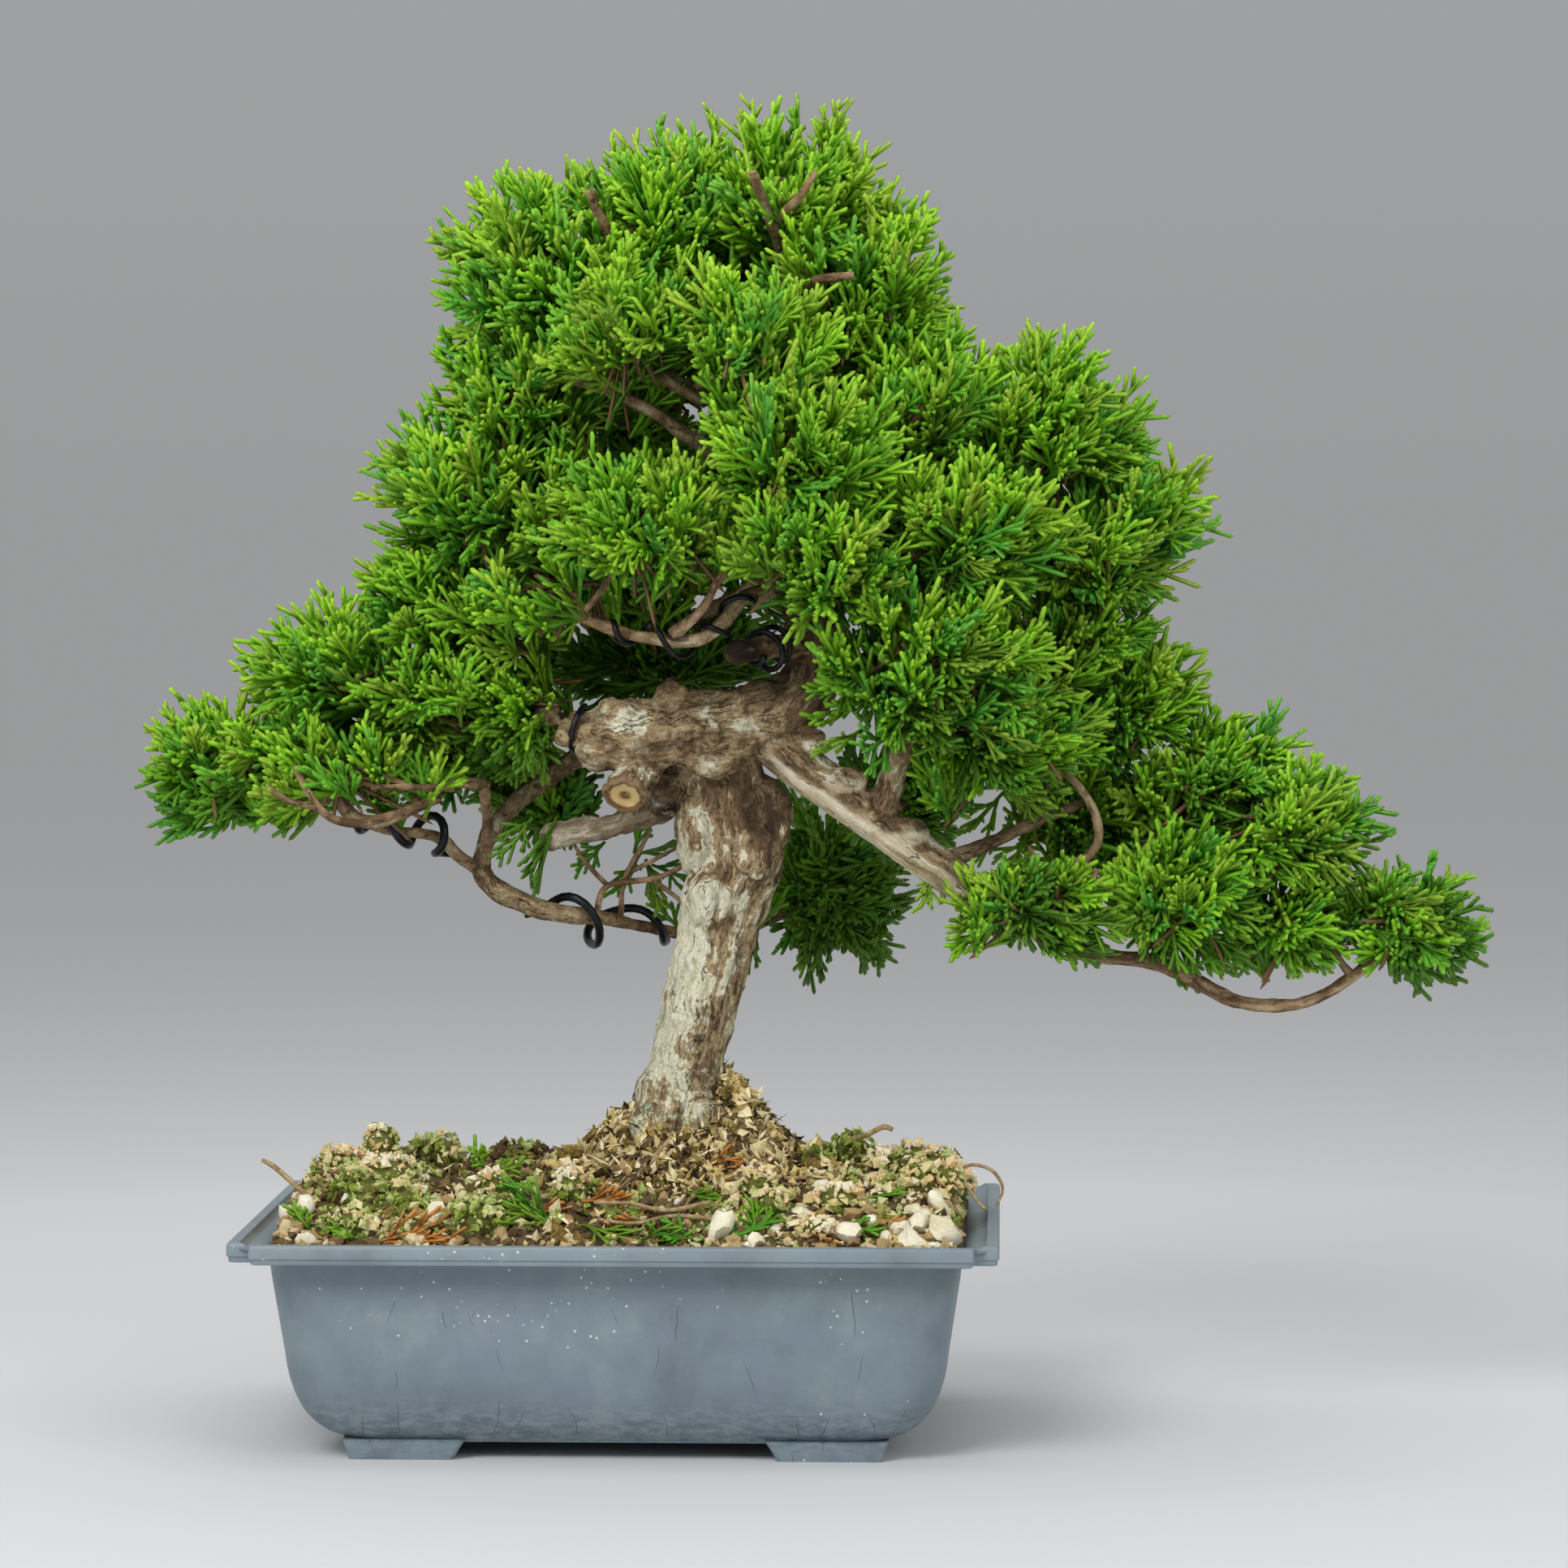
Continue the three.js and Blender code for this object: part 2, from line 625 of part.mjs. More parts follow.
function buildSoil() {
  const inset = WALL + GAP;
  const edge = wallAt(SOIL_LEVEL - 1, inset + 0.7);
  const longSide = 40;
  const partsOfSide = 5;
  const split = (ring) =>
    ring.flatMap((p, i) => {
      const j = (i + 1) % ring.length;
      const parts = edge[i].distanceTo(edge[j]) > longSide ? partsOfSide : 1;
      return Array.from({ length: parts }, (_, k) => p.clone().lerp(ring[j], k / parts));
    });
  const rim = split(edge);
  const below = [
    wallAt(FOOT_HEIGHT + FLOOR + GAP, inset + 2.4),
    wallAt(11.4, inset + 0.4),
    wallAt(19, inset),
    wallAt(SOIL_LEVEL - 6, inset),
  ];
  const top = [0.95, 0.88, 0.7, 0.5, 0.35, 0.22, 0.12].map((share) =>
    rim.map((edgePoint) => {
      const x = THREE.MathUtils.lerp(ROOT_MIDDLE[0], edgePoint.x, share);
      const y = THREE.MathUtils.lerp(ROOT_MIDDLE[1], edgePoint.y, share);
      return new THREE.Vector3(x, y, soilHeight(x, y));
    }),
  );

  const draw = seeded(11);
  const grains = [];
  for (let i = 0; i < GRAINS; i++) {
    const x = (draw() * 2 - 1) * 92;
    const y = (draw() * 2 - 1) * 66;
    if (Math.hypot(x - ROOT_MIDDLE[0], y - ROOT_MIDDLE[1]) < 36) continue;
    const size = 3 + 1.6 * draw();
    const grain = new THREE.IcosahedronGeometry(size, 0);
    grain.rotateX(draw() * 3).rotateZ(draw() * 3);
    grain.scale(1.15, 1, 0.85).translate(x, y, soilHeight(x, y));
    grains.push(solidOf(grain));
  }
  return joined([loft([...below.map(split), rim, ...top]), ...grains]);
}

// The foliage: each pad is a slim core with fans of pointed sprays standing out of it on all sides.

// How a fan that meets something is turned, and then shortened, until it stands clear.
const FAN_TRIES = [
  [0, 1], [1.6, 1], [0.8, 1], [2.4, 1],
  [0, 0.85], [1.6, 0.85], [0.8, 0.7], [2.4, 0.6],
];

// How far a pad's outer shape reaches from its middle in a direction.
function reachOf(pad, direction) {
  const [a, b, c] = pad.half;
  return 1 / Math.hypot(direction.x / a, direction.y / b, direction.z / c);
}

// The core of a pad: twenty flat faces, turned at random and drawn out to the pad's proportions.
function coreGeometry(pad, draw) {
  const core = new THREE.IcosahedronGeometry(1, 0);
  core.rotateX(draw() * 3).rotateY(draw() * 3).rotateZ(draw() * 3);
  core.scale(...pad.half.map((half) => half * CORE_SHARE));
  return core.translate(...pad.at);
}

function faceMiddles(geometry) {
  const corners = geometry.getAttribute("position");
  return Array.from({ length: corners.count / 3 }, (_, face) => {
    const sum = new THREE.Vector3();
    for (const j of [0, 1, 2]) sum.add(new THREE.Vector3().fromBufferAttribute(corners, 3 * face + j));
    return sum.divideScalar(3);
  });
}

// A fan of pointed fingers from a root to a tip: flat behind, and raised to a low peak in front.
function fanShape(half) {
  const outline = [[0, 0], ...half, [0, 1], ...half.map(([x, y]) => [-x, y]).reverse()];
  const contour = outline.map(([x, y]) => new THREE.Vector2(x, y));
  const back = THREE.ShapeUtils.triangulateShape(contour, []).map(([a, b, c]) => [a, c, b]);
  return { outline, back };
}

const FIVE_FINGERS = fanShape([[0.64, 0.42], [0.34, 0.42], [0.47, 0.8], [0.15, 0.62]]);
const THREE_FINGERS = fanShape([[0.58, 0.62], [0.2, 0.5]]);

function fanSolid({ outline, back }, root, tip, roll, grow = 0) {
  const ahead = tip.clone().sub(root);
  const length = ahead.length();
  ahead.normalize();
  const helper = Math.abs(ahead.z) > 0.9 ? new THREE.Vector3(1, 0, 0) : new THREE.Vector3(0, 0, 1);
  const across = new THREE.Vector3().crossVectors(ahead, helper).normalize().applyAxisAngle(ahead, roll);
  const flat = new THREE.Vector3().crossVectors(across, ahead);
  const size = length + grow;
  const place = ([x, y], z) =>
    root
      .clone()
      .addScaledVector(across, x * size)
      .addScaledVector(ahead, y * size)
      .addScaledVector(flat, z);
  const points = outline.map((corner) => place(corner, -grow));
  points.push(place([0, 0.36], FAN_THICK + grow));
  const count = outline.length;
  const index = back.flat();
  for (let j = 0; j < count; j++) index.push(count, j, (j + 1) % count);
  const geometry = new THREE.BufferGeometry().setFromPoints(points);
  geometry.setIndex(index);
  return solidOf(geometry);
}

// How deep a point lies in the other pads: 0 is in the middle of one, and over 1 is outside them all.
function crowding(point, name) {
  let nearest = Infinity;
  for (const [other, pad] of Object.entries(PADS)) {
    if (other === name) continue;
    const [dx, dy, dz] = pad.at.map((value, i) => (point.getComponent(i) - value) / pad.half[i]);
    nearest = Math.min(nearest, Math.hypot(dx, dy, dz));
  }
  return nearest;
}

// Cuts each pair of cores that touch along the plane half way between them.
function partCores(cores) {
  const names = Object.keys(cores);
  names.forEach((one, i) =>
    names.slice(i + 1).forEach((two) => {
      const from = new THREE.Vector3(...PADS[one].at);
      const across = new THREE.Vector3(...PADS[two].at).sub(from);
      const distance = across.length();
      across.normalize();
      const reaches = [one, two].map((name) => CORE_SHARE * reachAlong(PADS[name], across));
      if (reaches[0] + reaches[1] + GAP < distance) return;
      const share = (distance ** 2 + reaches[0] ** 2 - reaches[1] ** 2) / (2 * distance);
      const plane = from.dot(across) + share;
      cores[one] = cores[one].trimByPlane(across.clone().negate().toArray(), GAP / 2 - plane);
      cores[two] = cores[two].trimByPlane(across.toArray(), plane + GAP / 2);
    }),
  );
}

// The farthest that a pad's outer shape reaches along a direction.
function reachAlong(pad, direction) {
  const [a, b, c] = pad.half;
  return Math.hypot(direction.x * a, direction.y * b, direction.z * c);
}

// Where a pad's fans may stand: one on each face of its core, the farthest from other pads first.
function openPlaces(name, core) {
  const pad = PADS[name];
  const middle = new THREE.Vector3(...pad.at);
  const places = faceMiddles(core).map((face) => {
    const out = face.clone().sub(middle).normalize();
    const lift = out.clone().setZ(out.z + FAN_LIFT).normalize();
    const tip = middle.clone().addScaledVector(lift, FAN_REACH * reachOf(pad, lift));
    const root = face.addScaledVector(out, -FAN_ROOT);
    return { root, tip, free: crowding(tip, name) };
  });
  return places.sort((a, b) => b.free - a.free);
}

// The pads that may meet a pad.
function neighboursOf(name) {
  const longest = (pad) => Math.max(...pad.half);
  return Object.keys(PADS).filter((other) => {
    const apart = new THREE.Vector3(...PADS[name].at).distanceTo(new THREE.Vector3(...PADS[other].at));
    return other !== name && apart < FAN_REACH * (longest(PADS[name]) + longest(PADS[other]));
  });
}

// All the pads. Their fans stand clear of the obstacle, of the other pads and of each other.
function buildFoliage(obstacle) {
  const names = Object.keys(PADS);
  const draws = Object.fromEntries(names.map((name, i) => [name, seeded(100 + i)]));
  const shapes = Object.fromEntries(names.map((name) => [name, coreGeometry(PADS[name], draws[name])]));
  const cores = Object.fromEntries(names.map((name) => [name, solidOf(shapes[name])]));
  partCores(cores);
  const pads = Object.fromEntries(names.map((name) => [name, [cores[name]]]));
  const meets = (solid, others) => others.some((other) => !solid.intersect(other).isEmpty());
  for (const name of names) {
    const draw = draws[name];
    const behind = PADS[name].at[1] > BEHIND;
    const wanted = behind ? FANS_BEHIND : FANS_IN_FRONT;
    const shape = behind ? THREE_FINGERS : FIVE_FINGERS;
    for (const { root, tip } of openPlaces(name, shapes[name])) {
      const fans = pads[name].slice(1);
      if (fans.length === wanted) break;
      const beside = neighboursOf(name).flatMap((other) => pads[other]);
      const roll = draw() * Math.PI;
      for (const [turn, share] of FAN_TRIES) {
        const end = root.clone().lerp(tip, share);
        const fan = fanSolid(shape, root, end, roll + turn);
        const wide = fanSolid(shape, root, end, roll + turn, 2 * GAP);
        if (meets(fan, fans) || meets(wide, beside) || meets(wide.subtract(cores[name]), [obstacle])) {
          continue;
        }
        pads[name].push(fan);
        break;
      }
    }
  }
  return Object.fromEntries(
    names.map((name) => [name, mainBody(joined(pads[name]).subtract(obstacle))]),
  );
}

// Put together
const bonsai = new THREE.Group();
bonsai.name = "itoigawa_juniper_bonsai";
bonsai.add(meshOf("pot", buildPot(), POT_GREY, 0.55));

const limbs = allLimbs();
const wood = joined(limbs.map((limb, i) => limbSolid(limb, i + 1)));
const woodHole = joined(limbs.map((limb, i) => limbSolid(limb, i + 1, GAP)));
bonsai.add(meshOf("soil", mainBody(buildSoil().subtract(woodHole)), SOIL_BROWN, 0.95));

const wires = Object.entries(WIRES);
const wireHoles = joined(wires.map(([, wire]) => wireSolid(wire, GAP)));
bonsai.add(meshOf("wood", mainBody(wood.subtract(wireHoles)), BARK, 0.85));
for (const [name, wire] of wires) bonsai.add(meshOf(name, wireSolid(wire), WIRE_BLACK, 0.4, 0.6));

const foliage = Object.entries(buildFoliage(woodHole.add(wireHoles)));
foliage.forEach(([name, solid], i) => {
  bonsai.add(meshOf("foliage_" + name, solid, LEAF_GREENS[i % LEAF_GREENS.length], 0.6));
});

// The zero of the part lies on the table, under the middle of its outer box.
const middle = new THREE.Box3().setFromObject(bonsai).getCenter(new THREE.Vector3());
bonsai.position.set(-middle.x, -middle.y, 0);

export default bonsai;
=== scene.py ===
# %% [markdown]
# # A juniper bonsai in its training pot
# An itoigawa juniper is grown for its dense, cord-like foliage. This one leans over a shallow plastic
# pot, with wires still on its branches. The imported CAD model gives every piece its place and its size.
# This lesson dresses it: it replaces the plain solids with finer pieces in the same places.

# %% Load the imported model
import math
from functools import partial

import bmesh
import bpy
import numpy as np
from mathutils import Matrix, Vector
from numpy.random import default_rng


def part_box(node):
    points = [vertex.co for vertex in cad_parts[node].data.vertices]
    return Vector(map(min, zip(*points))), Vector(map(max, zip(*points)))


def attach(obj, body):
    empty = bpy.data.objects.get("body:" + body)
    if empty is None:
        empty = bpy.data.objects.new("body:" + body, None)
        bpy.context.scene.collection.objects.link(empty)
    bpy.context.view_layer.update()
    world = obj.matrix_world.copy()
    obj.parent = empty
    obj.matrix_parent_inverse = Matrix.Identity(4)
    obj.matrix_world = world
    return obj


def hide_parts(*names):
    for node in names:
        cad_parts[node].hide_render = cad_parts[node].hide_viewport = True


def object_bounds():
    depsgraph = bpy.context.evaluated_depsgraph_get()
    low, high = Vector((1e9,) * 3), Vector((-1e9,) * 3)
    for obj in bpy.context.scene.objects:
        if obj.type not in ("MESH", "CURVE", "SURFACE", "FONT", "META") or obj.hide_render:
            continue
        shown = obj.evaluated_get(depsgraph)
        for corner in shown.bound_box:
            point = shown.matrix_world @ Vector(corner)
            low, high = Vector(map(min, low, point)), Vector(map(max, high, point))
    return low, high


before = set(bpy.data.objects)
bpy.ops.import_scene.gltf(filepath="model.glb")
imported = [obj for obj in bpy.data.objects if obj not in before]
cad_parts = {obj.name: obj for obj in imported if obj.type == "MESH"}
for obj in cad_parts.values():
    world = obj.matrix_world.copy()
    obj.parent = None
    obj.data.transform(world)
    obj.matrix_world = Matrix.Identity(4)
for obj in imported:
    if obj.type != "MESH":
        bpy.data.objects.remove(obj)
cad_box = [list(corner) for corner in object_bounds()]
print("CAD box, metres:", np.round(cad_box, 4).tolist())

# %% [markdown]
# All lengths below are in millimetres, measured from the table under the middle of the pot, as a maker
# would measure them. One function takes them to the metres of the frame.

# %% From the maker's millimetres to the frame
pot_low, pot_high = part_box("pot")
POT_MIDDLE = np.array([(pot_low.x + pot_high.x) / 2, (pot_low.y + pot_high.y) / 2, 0])


def metres(points):
    """The frame's metres for points in millimetres."""
    return np.asarray(points, float) / 1000 + POT_MIDDLE


print("middle of the pot:", np.round(POT_MIDDLE, 4).tolist())

# %% [markdown]
# ## Camera, light and floor
# The camera stands almost two metres away with a long lens, so the tree is hardly foreshortened. The
# light is that of a small studio: one big soft light high on the left, a weaker one on the right, a
# faint one above, and an even pale surround that darkens a little towards the horizon.

# %% The camera
# Where it stands, how far it looks down and turns, both in radians, and the lens in millimetres.
CAMERA_AT = (125.6, -1932.8, 309.8)
CAMERA_DOWN = 0.0479
CAMERA_TURN = 0.0379
LENS = 132.3

camera_data = bpy.data.cameras.new("camera")
camera_data.lens = LENS
camera = bpy.data.objects.new("camera", camera_data)
camera.location = metres(CAMERA_AT)
camera.rotation_euler = (math.pi / 2 - CAMERA_DOWN, 0, CAMERA_TURN)
bpy.context.scene.collection.objects.link(camera)
bpy.context.scene.camera = camera
print("camera:", np.round(camera.location, 3).tolist(), "lens", LENS)

# %% Colours in hex, and nodes
def linear(hex_colour):
    """The linear colour of an sRGB hex value."""
    parts = [int(hex_colour[i : i + 2], 16) / 255 for i in (1, 3, 5)]
    return (*[c / 12.92 if c <= 0.04045 else ((c + 0.055) / 1.055) ** 2.4 for c in parts], 1.0)


def node(tree, kind, inputs=None, stops=(), **settings):
    """Adds a shader node. An input is a value, a hex colour, or the node or socket that feeds it. Stops
    are for a ramp."""
    made = tree.nodes.new("ShaderNode" + kind)
    for name, value in settings.items():
        setattr(made, name, value)
    for name, value in (inputs or {}).items():
        if isinstance(value, bpy.types.Node):
            value = next(socket for socket in value.outputs if socket.enabled)
        if isinstance(value, str):
            value = linear(value)
        if isinstance(value, bpy.types.NodeSocket):
            tree.links.new(value, made.inputs[name])
        else:
            made.inputs[name].default_value = value
    if stops:
        elements = made.color_ramp.elements
        elements.remove(elements[1])
        elements[0].position = stops[0][0]
        elements[0].color = linear(stops[0][1])
        for position, colour in stops[1:]:
            elements.new(position).color = linear(colour)
    return made


def new_material(name):
    """A material with no nodes yet, and the function that adds them to it."""
    material = bpy.data.materials.new(name)
    material.use_nodes = True
    material.node_tree.nodes.clear()
    return material, partial(node, material.node_tree)


print("lime in linear light:", np.round(linear("#6CC832"), 3).tolist())

# %% Floor and light
# How far the floor reaches, in metres, and from where to where it melts into the surround.
FLOOR_REACH = 60
MELTS_FROM = 0.7
MELTS_TO = 5.0
HORIZON = "#CBCCCD"
SURROUND = 0.54

floor_mesh = bpy.data.meshes.new("studio_floor")
corners = [(-FLOOR_REACH, -FLOOR_REACH, 0), (FLOOR_REACH, -FLOOR_REACH, 0)]
corners += [(FLOOR_REACH, FLOOR_REACH, 0), (-FLOOR_REACH, FLOOR_REACH, 0)]
floor_mesh.from_pydata(corners, [], [(0, 1, 2, 3)])
floor = bpy.data.objects.new("studio_floor", floor_mesh)
bpy.context.scene.collection.objects.link(floor)
paper, add = new_material("pale_studio_paper")
shader = add("BsdfPrincipled", {"Base Color": "#D4D5D6", "Roughness": 0.95})
# Far from the pot the paper takes on the glow of the surround, so no line shows where they meet.
flat = add("VectorMath", {0: add("TexCoord").outputs["Object"]}, operation="LENGTH")
far = add("MapRange", {0: flat.outputs["Value"], "From Min": MELTS_FROM, "From Max": MELTS_TO})
far = add("Math", {0: far, 1: 0.6}, operation="POWER")
glow = add("Emission", {"Color": HORIZON, "Strength": SURROUND})
shader = add("MixShader", {0: far, 1: shader, 2: glow})
add("OutputMaterial", {"Surface": shader})
floor_mesh.materials.append(paper)

# Where each lamp stands, its width in metres and its power in watts. All look at the middle of the tree.
LOOK_AT = (40, 0, 220)
LIGHTS = {
    "key": ((-700, -1500, 1500), 1.0, 25),
    "fill": ((1850, -1650, 1350), 1.4, 13),
    "top": ((100, 200, 1600), 1.4, 7.5),
}
for name, (place, size, watts) in LIGHTS.items():
    lamp = bpy.data.lights.new(name, "AREA")
    lamp.size = size
    lamp.energy = watts
    made = bpy.data.objects.new(name, lamp)
    made.location = metres(place)
    aim = Vector(metres(LOOK_AT)) - made.location
    made.rotation_euler = aim.to_track_quat("-Z", "Y").to_euler()
    bpy.context.scene.collection.objects.link(made)

world = bpy.data.worlds.new("studio")
bpy.context.scene.world = world
world.use_nodes = True
sky = partial(node, world.node_tree)
height = sky("SeparateXYZ", {0: sky("TexCoord").outputs["Generated"]}).outputs["Z"]
dome = sky("ValToRGB", {"Fac": height}, stops=[(0.0, HORIZON), (0.5, "#F4F6F8")])
background = world.node_tree.nodes["Background"]
background.inputs["Strength"].default_value = SURROUND
world.node_tree.links.new(dome.outputs["Color"], background.inputs["Color"])
bpy.context.scene.view_settings.view_transform = "Standard"
print("lights:", ", ".join(LIGHTS))

# %% [markdown]
# ## Making meshes from arrays
# A tree is thousands of small tapered tubes. Blender could grow each as a curve with a bevel, but arrays
# are much faster: numpy works out all the points at once and hands them to one mesh. A part is a list of
# points, a list of face arrays, and marks: numbers at each point, which the materials read later.

# %% Parts and pieces
class Part:
    """A mesh in the making: points, faces and marks."""

    def __init__(self, points, faces, **marks):
        self.points = np.asarray(points, float).reshape(-1, 3)
        self.faces = [np.asarray(f, int) for f in faces if len(f)]
        self.marks = marks


def joined(parts):
    """One part of many. A mark that a part doesn't have is nought there."""
    names = sorted({name for part in parts for name in part.marks})
    faces = []
    offset = 0
    for part in parts:
        faces += [f + offset for f in part.faces]
        offset += len(part.points)
    marks = {}
    for name in names:
        rows = [np.broadcast_to(part.marks.get(name, 0.0), len(part.points)) for part in parts]
        marks[name] = np.concatenate(rows)
    return Part(np.vstack([part.points for part in parts]), faces, **marks)


def mesh_of(name, part):
    mesh = bpy.data.meshes.new(name)
    mesh.vertices.add(len(part.points))
    mesh.vertices.foreach_set("co", metres(part.points).ravel())
    corners = np.concatenate([f.ravel() for f in part.faces])
    sizes = np.concatenate([np.full(len(f), f.shape[1]) for f in part.faces])
    mesh.loops.add(len(corners))
    mesh.loops.foreach_set("vertex_index", corners)
    mesh.polygons.add(len(sizes))
    mesh.polygons.foreach_set("loop_start", np.cumsum(sizes) - sizes)
    mesh.update(calc_edges=True)
    return mesh


triangles_made = {}


def piece(name, part, material, smooth=True, replaces=()):
    """Makes one named object of a part, which rides with the pot and tree. Smooth is True, False or the
    angle in degrees from which an edge stays sharp."""
    mesh = mesh_of(name, part)
    for mark, values in part.marks.items():
        values = np.asarray(values, np.float32)
        kind, field = ("FLOAT_VECTOR", "vector") if values.ndim == 2 else ("FLOAT", "value")
        mesh.attributes.new(mark, kind, "POINT").data.foreach_set(field, values.ravel())
    mesh.polygons.foreach_set("use_smooth", np.full(len(mesh.polygons), bool(smooth)))
    if smooth is not True and smooth:
        mesh.set_sharp_from_angle(angle=math.radians(smooth))
    mesh.materials.append(material)
    made = bpy.data.objects.new(name, mesh)
    bpy.context.scene.collection.objects.link(made)
    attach(made, "root")
    if replaces:
        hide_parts(*replaces)
    triangles_made[name] = sum(len(f) * (f.shape[1] - 2) for f in part.faces)
    print(f"{name}: {triangles_made[name]} triangles")


# %% Smooth lines and tubes
def smooth_line(rows, step):
    """Samples a smooth curve through rows of numbers that start with x, y, z, about a step apart."""
    rows = np.asarray(rows, float)
    rows = np.vstack([2 * rows[0] - rows[1], rows, 2 * rows[-1] - rows[-2]])
    line = []
    for a, b, c, d in zip(rows, rows[1:], rows[2:], rows[3:]):
        count = max(2, int(np.linalg.norm(c[:3] - b[:3]) / step))
        t = (np.arange(count) / count)[:, None]
        bend = (2 * a - 5 * b + 4 * c - d) * t**2 + (3 * b - a - 3 * c + d) * t**3
        line.append(b + 0.5 * ((c - a) * t + bend))
    line.append(rows[-2:-1])
    return np.vstack(line)


def unit(vectors):
    return vectors / np.maximum(np.linalg.norm(vectors, axis=-1, keepdims=True), 1e-9)


def frames_along(line):
    """Directions ahead, across and up at each point of a line, which turn as little as they can."""
    ahead = unit(np.gradient(line[:, :3], axis=0))
    across = np.empty_like(ahead)
    side = np.array([0.0, 1.0, 0.0])
    for i, direction in enumerate(ahead):
        side = unit(side - direction * side.dot(direction))
        across[i] = side
    return ahead, across, np.cross(ahead, across)


def skin(rings, **marks):
    """A closed skin over rings of the same number of points, with a cap at each end."""
    count, sides = rings.shape[:2]
    corner = np.arange(count * sides).reshape(count, sides)
    beside = np.roll(corner, -1, axis=1)
    quads = np.stack([corner[:-1], beside[:-1], beside[1:], corner[1:]], -1).reshape(-1, 4)
    ends = np.array([rings[0].mean(0), rings[-1].mean(0)])
    first = count * sides
    low = np.stack([np.full(sides, first), beside[0], corner[0]], -1)
    high = np.stack([np.full(sides, first + 1), corner[-1], beside[-1]], -1)
    points = np.vstack([rings.reshape(-1, 3), ends])
    for name, values in marks.items():
        values = np.broadcast_to(np.asarray(values, float)[..., None], (count, sides)).ravel()
        marks[name] = np.concatenate([values, values[[0, -1]]])
    return Part(points, [quads, np.vstack([low, high])], **marks)


def tube(line, sides, **marks):
    """A round tube along a line of points, each with its radius."""
    _, across, up = frames_along(line)
    turn = np.arange(sides) * 2 * np.pi / sides
    spokes = np.cos(turn)[:, None] * across[:, None] + np.sin(turn)[:, None] * up[:, None]
    return skin(line[:, None, :3] + spokes * line[:, 3, None, None], **marks)


print("a test tube has", len(tube(smooth_line([[0, 0, 0, 1], [0, 0, 9, 1]], 1), 6).points), "points")

# %% [markdown]
# Natural surfaces are uneven at many sizes. One table of random numbers, read smoothly between its
# entries, gives soft noise of any lump size, and is quick on whole arrays of points.

# %% Noise for shapes
LATTICE = default_rng(7).random((32, 32, 32))


def grain(points, size, shift=0.0):
    """Smooth noise from 0 to 1, with lumps about size millimetres across."""
    place = np.asarray(points, float) / size + shift
    low = np.floor(place).astype(int)
    share = place - low
    share = share * share * (3 - 2 * share)
    total = 0
    for corner in np.ndindex(2, 2, 2):
        weight = np.where(np.array(corner, bool), share, 1 - share).prod(axis=-1)
        i, j, k = np.moveaxis((low + corner) % 32, -1, 0)
        total = total + weight * LATTICE[i, j, k]
    return total


def smooth_step(values, low, high):
    """0 below low, 1 above high, and an even slope between."""
    share = np.clip((np.asarray(values, float) - low) / (high - low), 0, 1)
    return share * share * (3 - 2 * share)


# %% Solids made with modifiers
def object_of(part):
    made = bpy.data.objects.new("shape", mesh_of("shape", part))
    bpy.context.scene.collection.objects.link(made)
    return made


def read_back(made, *spent):
    """The part that an object's modifiers give, with its normals. The objects are then removed."""
    result = made.evaluated_get(bpy.context.evaluated_depsgraph_get()).to_mesh()
    points = np.empty(len(result.vertices) * 3)
    result.vertices.foreach_get("co", points)
    normals = np.empty(len(result.vertices) * 3)
    result.vertices.foreach_get("normal", normals)
    corners = np.empty(len(result.loops), int)
    result.loops.foreach_get("vertex_index", corners)
    first = np.empty(len(result.polygons), int)
    result.polygons.foreach_get("loop_start", first)
    sizes = np.diff(np.append(first, len(corners)))
    faces = [corners[first[sizes == n][:, None] + np.arange(n)] for n in np.unique(sizes)]
    for used in (made, *spent):
        bpy.data.objects.remove(used)
    return Part((points.reshape(-1, 3) - POT_MIDDLE) * 1000, faces), normals.reshape(-1, 3)


def ball(detail):
    """The points and faces of a ball of radius 1."""
    shape = bmesh.new()
    bmesh.ops.create_icosphere(shape, subdivisions=detail, radius=1)
    points = np.array([list(corner.co) for corner in shape.verts])
    faces = np.array([[corner.index for corner in face.verts] for face in shape.faces])
    shape.free()
    return points, faces


ROUGH_BALL = ball(1)
ROUND_BALL = ball(2)
print("balls of", len(ROUGH_BALL[1]), "and", len(ROUND_BALL[1]), "triangles")

# %% [markdown]
# ## The pot
# The pot is a shallow training pot, moulded in one shot of grey-blue plastic. It is a rounded tub that
# leans out, under a rim whose corners are notched, on four broad feet. A box with a bevel would miss
# the soft bend at the foot of the wall, so the tub, the rim and the feet are lofted from outlines, and
# joined and hollowed with booleans, as the mould itself is.

# %% Outlines of the pot
RIM_X, RIM_Y = 125, 95
POT_HEIGHT = 72.4
WALL = 2.6
# Rows of the tub from the bottom up: half length, half depth, corner radius and height.
TUB = [
    (88, 71, 14, 5.5), (97, 75, 15, 9.5), (103.5, 78, 16, 16.5), (107.2, 79.5, 16, 26),
    (108.6, 80.4, 15.5, 35), (112.2, 82.5, 14.2, 59), (113.3, 83.3, 13.8, 65), (117.4, 87.2, 12.4, 68.6),
    (122.4, 92.2, 11, 70.6),
]


def eased(corners, radius, steps=6):
    """An outline whose corners are rounded."""
    corners = np.asarray(corners, float)
    t = np.linspace(0, 1, steps)[:, None]
    before, after = np.roll(corners, 1, axis=0), np.roll(corners, -1, axis=0)
    arcs = []
    starts = corners + unit(before - corners) * radius
    ends = corners + unit(after - corners) * radius
    for corner, a, b in zip(corners, starts, ends):
        arcs.append((1 - t) ** 2 * a + 2 * t * (1 - t) * corner + t**2 * b)
    return np.vstack(arcs)


def at_height(outline, z):
    return np.column_stack([outline, np.full(len(outline), z)])


